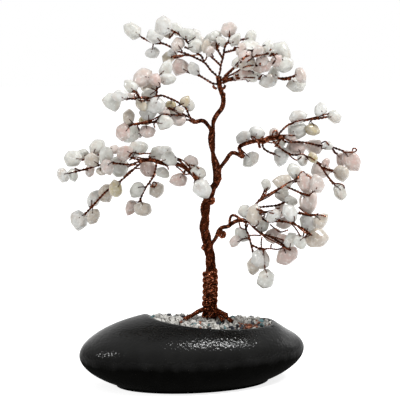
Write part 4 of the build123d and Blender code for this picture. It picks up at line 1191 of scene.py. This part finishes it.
def dip(across):
    """How far the mouth's rim and the gravel lie below the mouth's plane, beside its long middle line."""
    share = across / MOUTH_HALF_WIDTH
    return (MOUTH_DIP + (BACK_DIP if across > 0 else 0)) * share * share


def half_width(across):
    """Half width of the dipped mouth, in front of its long middle line or behind it."""
    width = MOUTH_HALF_WIDTH
    for _ in range(RIM_ROUNDS):
        sunk = (MOUTH_MIDDLE.z - dip(math.copysign(width, across)) - PEBBLE_CENTRE.z) / PEBBLE_HALF.z
        width = PEBBLE_HALF.y * math.sqrt(1 - (MOUTH_MIDDLE.x / PEBBLE_HALF.x) ** 2 - sunk * sunk)
    return width


def leaner(point):
    """Point of the plain pebble moved to its longer ends and its lower right shoulder."""
    share = abs(point.x) / PEBBLE_HALF.x
    longer = math.copysign(END_GROWTH * share ** END_POWER, point.x)
    slope = min(1.0, max(0.0, (point.x / PEBBLE_HALF.x - SHOULDER_START) / SHOULDER_RUN))
    lower = max(0.0, point.z - PEBBLE_CENTRE.z) * SHOULDER_SHARE * slope * slope * (3 - 2 * slope)
    return Vector((point.x + longer, point.y, point.z - lower))


def grow_ring(bm, edges, place):
    """Extrude an open ring and put each new corner where a function says."""
    made = bmesh.ops.extrude_edge_only(bm, edges=edges)["geom"]
    for vert in [v for v in made if isinstance(v, bmesh.types.BMVert)]:
        vert.co = place(vert.co)
    return [edge for edge in made if isinstance(edge, bmesh.types.BMEdge)]


class GEMTREE_OT_pot(bpy.types.Operator):
    """Shape the pebble pot with its rounded lip and hollow"""

    bl_idname = "gem_tree.pot"
    bl_label = "Pebble pot"

    def execute(self, context):
        settings = context.scene.gem_pot
        bm = bmesh.new()
        bmesh.ops.create_uvsphere(bm, u_segments=PEBBLE_SEGMENTS, v_segments=PEBBLE_RINGS, radius=1)
        bmesh.ops.scale(bm, vec=PEBBLE_HALF, verts=bm.verts)
        bmesh.ops.translate(bm, vec=PEBBLE_CENTRE, verts=bm.verts)
        self.cut(bm, Vector((0, 0, FOOT_RISE)), -UP)
        self.stand(bm)
        for vert in bm.verts:
            vert.co = leaner(vert.co)
            vert.co.z += dip(vert.co.y)
        self.cut(bm, MOUTH_MIDDLE, MOUTH_UP)
        self.hollow(bm, settings)
        for vert in bm.verts:
            vert.co.z -= dip(vert.co.y)
        bmesh.ops.recalc_face_normals(bm, faces=bm.faces)
        mesh = finished(bm, "pebble_pot")
        mesh.shade_smooth()
        look = material("black_pot", lambda: black_pot(settings))
        add_piece("pebble_pot", mesh, look, ("pot",), "base")
        self.fill(settings)
        return {"FINISHED"}

    def fill(self, settings):
        """Plaster under the gravel, with its top dipped as the mouth is."""
        bm = merged("plaster_fill")
        for vert in bm.verts:
            if (vert.co - MOUTH_MIDDLE).dot(MOUTH_UP) > -MOUTH_NECK:
                vert.co.y *= half_width(vert.co.y) / MOUTH_HALF_WIDTH
                vert.co.z -= dip(vert.co.y)
        look = material("cast_plaster", lambda: cast_plaster(settings.plaster))
        add_piece("plaster_bed", finished(bm, "plaster_bed"), look, ("plaster_fill",), "base")

    def cut(self, bm, middle, outward):
        geom = bm.verts[:] + bm.edges[:] + bm.faces[:]
        bmesh.ops.bisect_plane(bm, geom=geom, plane_co=middle, plane_no=outward, clear_outer=True)

    def stand(self, bm):
        """Straight low foot with a flat sole."""
        ring = grow_ring(bm, open_edges(bm), lambda p: Vector((p.x, p.y, 0)))
        for share in SOLE_SHARES:
            ring = grow_ring(bm, ring, lambda p: Vector((p.x * share, p.y * share, 0)))
        bmesh.ops.edgeloop_fill(bm, edges=ring)

    def hollow(self, bm, settings):
        """Lip, neck, belly and floor inside the mouth."""
        rim = open_edges(bm)
        throat = 1 - MOUTH_LIP / MOUTH_HALF_WIDTH

        def oval_place(half_length, half_width, height):
            def place(point):
                u, w = in_mouth(point)
                size = math.hypot(u, w)
                return Vector((u / size * half_length, w / size * half_width, height))
            return place

        lip = grow_ring(bm, rim, lambda p: MOUTH_MIDDLE + (p - MOUTH_MIDDLE) * throat)
        ring = grow_ring(bm, lip, lambda p: p - MOUTH_UP * MOUTH_NECK)
        ring = grow_ring(bm, ring, oval_place(PEBBLE_HALF.x - POT_WALL, PEBBLE_HALF.y - POT_WALL,
                                              PEBBLE_CENTRE.z))
        reach = math.sqrt(1 - ((POT_FLOOR - PEBBLE_CENTRE.z) / PEBBLE_HALF.z) ** 2)
        ring = grow_ring(bm, ring, oval_place(PEBBLE_HALF.x * reach - 2 * POT_WALL,
                                              PEBBLE_HALF.y * reach - 2 * POT_WALL, POT_FLOOR))
        bmesh.ops.edgeloop_fill(bm, edges=ring)
        bmesh.ops.bevel(bm, geom=rim + lip, offset=settings.lip_round, segments=LIP_SEGMENTS, profile=0.5,
                        affect="EDGES", material=-1)


GRAVEL_STEP = 0.82
GRAVEL_LAYERS = ((-1.6 * MM, 1.0), (-0.7 * MM, 0.6))
TRUNK_CLEAR = 4.6 * MM
GRAVEL_DENSITY = 1.1
GRAVEL_UNEVENNESS = 0.3 * MM
CHIP_POINTS = 11
CHIP_SIZES = (0.65, 1.2)
CHIP_WIDTHS = (0.65, 1.0)
CHIP_HEIGHTS = (0.5, 0.9)
MARGIN_SHARE = 0.4
GRAVEL_SEED = 7
# Rust chips lie mostly at the front right, and teal ones behind the trunk
RUST_RIGHT_SHARE = 0.3
RUST_FRONT_SHARE = 0.35
RUST_MANY = 0.4
RUST_FEW = 0.05
TEAL_MIDDLE = 11 * MM
TEAL_HALF_LENGTH = 6 * MM
TEAL_NEAR = 2 * MM
TEAL_FAR = 18 * MM
TEAL_MANY = 0.4
TEAL_FEW = 0.04
DARK_FROM = 0.85
GOLDEN_TURN = math.radians(137.508)


class GEMTREE_OT_gravel(bpy.types.Operator):
    """Spread broken chips of stone over the plaster"""

    bl_idname = "gem_tree.gravel"
    bl_label = "Gravel"

    def execute(self, context):
        settings = context.scene.gem_pot
        looks = {"pale": settings.pale, "rust": settings.rust, "teal": settings.teal, "dark": settings.dark}
        meshes = {tint: bmesh.new() for tint in looks}
        shades = {tint: bm.verts.layers.float.new("stone_shade") for tint, bm in meshes.items()}
        dice = random.Random(GRAVEL_SEED)
        for level, share in GRAVEL_LAYERS:
            for u, w in self.scatter(settings.grain * GRAVEL_STEP, dice):
                keep, tint = dice.random() < share, self.tint(u, w, dice)
                self.chip(meshes[tint], shades[tint], u, w, level, settings.grain, dice, keep)
        for tint, bm in meshes.items():
            look = material(f"{tint}_stone", lambda: gravel_stone(f"{tint}_stone", looks[tint]))
            add_piece(f"{tint}_gravel_chips", finished(bm, f"{tint}_gravel_chips"), look,
                      (f"{tint}_gravel",), "base")
        return {"FINISHED"}

    def scatter(self, step, dice):
        """Places strewn evenly over the mouth, in metres along and across it."""
        margin = MOUTH_LIP + step * MARGIN_SHARE
        count = round(GRAVEL_DENSITY * math.pi * MOUTH_HALF_LENGTH * MOUTH_HALF_WIDTH / step ** 2)
        start = dice.random()
        for i in range(count):
            reach = math.sqrt((i + 0.5) / count)
            angle = start + i * GOLDEN_TURN
            u = (MOUTH_HALF_LENGTH - margin) * reach * math.cos(angle)
            w = (half_width(math.sin(angle)) - margin) * reach * math.sin(angle)
            yield u + (dice.random() - 0.5) * step / 3, w + (dice.random() - 0.5) * step / 3

    def tint(self, u, w, dice):
        draw = dice.random()
        front_right = u > RUST_RIGHT_SHARE * MOUTH_HALF_LENGTH and w < -RUST_FRONT_SHARE * MOUTH_HALF_WIDTH
        behind_trunk = abs(u - TEAL_MIDDLE) < TEAL_HALF_LENGTH and TEAL_NEAR < w < TEAL_FAR
        if draw < (RUST_MANY if front_right else RUST_FEW):
            return "rust"
        if draw > 1 - (TEAL_MANY if behind_trunk else TEAL_FEW):
            return "teal"
        return "dark" if draw > DARK_FROM else "pale"

    def chip(self, bm, shade, u, w, level, grain, dice, keep):
        """One chip: the hull of a few points strewn over a small uneven ball."""
        rise = level + GRAVEL_UNEVENNESS * dice.random() - dip(w)
        middle = MOUTH_MIDDLE + MOUTH_ALONG * u + ACROSS * w + MOUTH_UP * rise
        size = grain / 2 * dice.uniform(*CHIP_SIZES)
        turn = Quaternion([dice.gauss(0, 1) for _ in range(4)]).normalized()
        squeeze = Vector((1, dice.uniform(*CHIP_WIDTHS), dice.uniform(*CHIP_HEIGHTS)))
        points = [Vector([dice.gauss(0, 1) for _ in range(3)]).normalized() for _ in range(CHIP_POINTS)]
        worth = dice.random()
        if not keep or (middle - TRUNK_FOOT).length < TRUNK_CLEAR:
            return
        for vert in add_hull(bm, [middle + turn @ (p * squeeze) * size for p in points]):
            vert[shade] = worth


# Stage

# Each lamp's name, place, the way of its long side, its two sides, and the setting of its power
LAMPS = (
    ("key_light", (0.38, -0.46, 1.0), (0.93, 0, -0.36), (0.6, 0.028), "key_power"),
    ("left_light", (-1.0, -0.17, 0.56), ACROSS, (0.12, 0.08), "left_power"),
    ("right_light", (1.05, 0.27, 0.4), ACROSS, (0.4, 0.4), "right_power"),
)
LAMPS_LOOK_AT = Vector((0, 0, 0.09))
FLOOR_HALF = 3.0
FLOOR_GREY = (0.75, 0.75, 0.75)
FLOOR_GLOW = 0.78


class GEMTREE_OT_stage(bpy.types.Operator):
    """Set the camera, the soft light, the floor and the white surround"""

    bl_idname = "gem_tree.stage"
    bl_label = "Stage"

    def execute(self, context):
        settings = context.scene.gem_stage
        context.scene.view_settings.view_transform = "Standard"
        self.camera(context)
        for name, place, along, sides, power in LAMPS:
            self.light(name, Vector(place), Vector(along), sides, getattr(settings, power))
        self.floor()
        self.surround(context, settings.sky)
        return {"FINISHED"}

    def camera(self, context):
        lens = bpy.data.cameras.new("camera")
        lens.sensor_fit = "HORIZONTAL"
        lens.sensor_width = SENSOR
        lens.lens = SENSOR * VIEW_DISTANCE / METRES_PER_PX / PICTURE_SIDE_PX
        lens.clip_start = NEAREST_SEEN
        camera = bpy.data.objects.new("camera", lens)
        context.scene.collection.objects.link(camera)
        axes = Matrix((RIGHT, RISE, -AHEAD)).transposed()
        camera.matrix_world = Matrix.Translation(eye()) @ axes.to_4x4()
        context.scene.camera = camera

    def light(self, name, place, along, sides, power):
        """Soft light that looks at the tree, with its long side along a direction."""
        lamp = bpy.data.lights.new(name, "AREA")
        lamp.shape = "RECTANGLE"
        lamp.size, lamp.size_y = sides
        lamp.energy = power
        light = bpy.data.objects.new(name, lamp)
        bpy.context.scene.collection.objects.link(light)
        back = (place - LAMPS_LOOK_AT).normalized()
        rise = back.cross(along).normalized()
        axes = Matrix((rise.cross(back), rise, back)).transposed()
        light.matrix_world = Matrix.Translation(place) @ axes.to_4x4()

    def floor(self):
        bm = bmesh.new()
        bmesh.ops.create_grid(bm, x_segments=1, y_segments=1, size=FLOOR_HALF)
        mesh = finished(bm, "floor")
        finish = Finish(bpy.data.materials.new("white_floor"))
        glow = finish.mix(finish.seen(), (0, 0, 0), (FLOOR_GLOW,) * 3)
        finish.close(Base_Color=(*FLOOR_GREY, 1), Roughness=1.0, Specular_IOR_Level=0.0,
                     Emission_Color=glow, Emission_Strength=1.0)
        mesh.materials.append(finish.owner)
        floor = bpy.data.objects.new("floor", mesh)
        bpy.context.scene.collection.objects.link(floor)

    def surround(self, context, sky):
        finish = Finish(bpy.data.worlds.new("white_surround"))
        colour = finish.mix(finish.seen(), (sky,) * 3, (1, 1, 1))
        finish.end("OutputWorld", finish.node("Background", None, {"Color": colour}))
        context.scene.world = finish.owner


class GEMTREE_PT_panel(bpy.types.Panel):
    """Steps that dress the tree, with the sizes and colours that they use"""

    bl_idname = "GEMTREE_PT_panel"
    bl_label = "Gem Tree"
    bl_space_type = "VIEW_3D"
    bl_region_type = "UI"
    bl_category = "Gem Tree"

    def draw(self, context):
        for operator in OPERATORS:
            self.layout.operator(operator.bl_idname)
        for group in GROUPS:
            box = self.layout.box()
            for setting in GROUPS[group].__annotations__:
                box.prop(getattr(context.scene, group), setting)


OPERATORS = (GEMTREE_OT_stage, GEMTREE_OT_pot, GEMTREE_OT_gravel, GEMTREE_OT_ropes, GEMTREE_OT_wrap,
             GEMTREE_OT_sprays, GEMTREE_OT_stems, GEMTREE_OT_stones)
GROUPS = {"gem_wire": WireSettings, "gem_stone": StoneSettings, "gem_pot": PotSettings,
          "gem_stage": StageSettings}


def register():
    for group in GROUPS.values():
        bpy.utils.register_class(group)
    for name, group in GROUPS.items():
        setattr(bpy.types.Scene, name, bpy.props.PointerProperty(type=group))
    for operator in OPERATORS:
        bpy.utils.register_class(operator)
    bpy.utils.register_class(GEMTREE_PT_panel)


def unregister():
    bpy.utils.unregister_class(GEMTREE_PT_panel)
    for operator in reversed(OPERATORS):
        bpy.utils.unregister_class(operator)
    for name, group in GROUPS.items():
        delattr(bpy.types.Scene, name)
        bpy.utils.unregister_class(group)


def main():
    register()
    for operator in OPERATORS:
        group, step = operator.bl_idname.split(".")
        getattr(getattr(bpy.ops, group), step)()


if __name__ == "__main__":
    main()
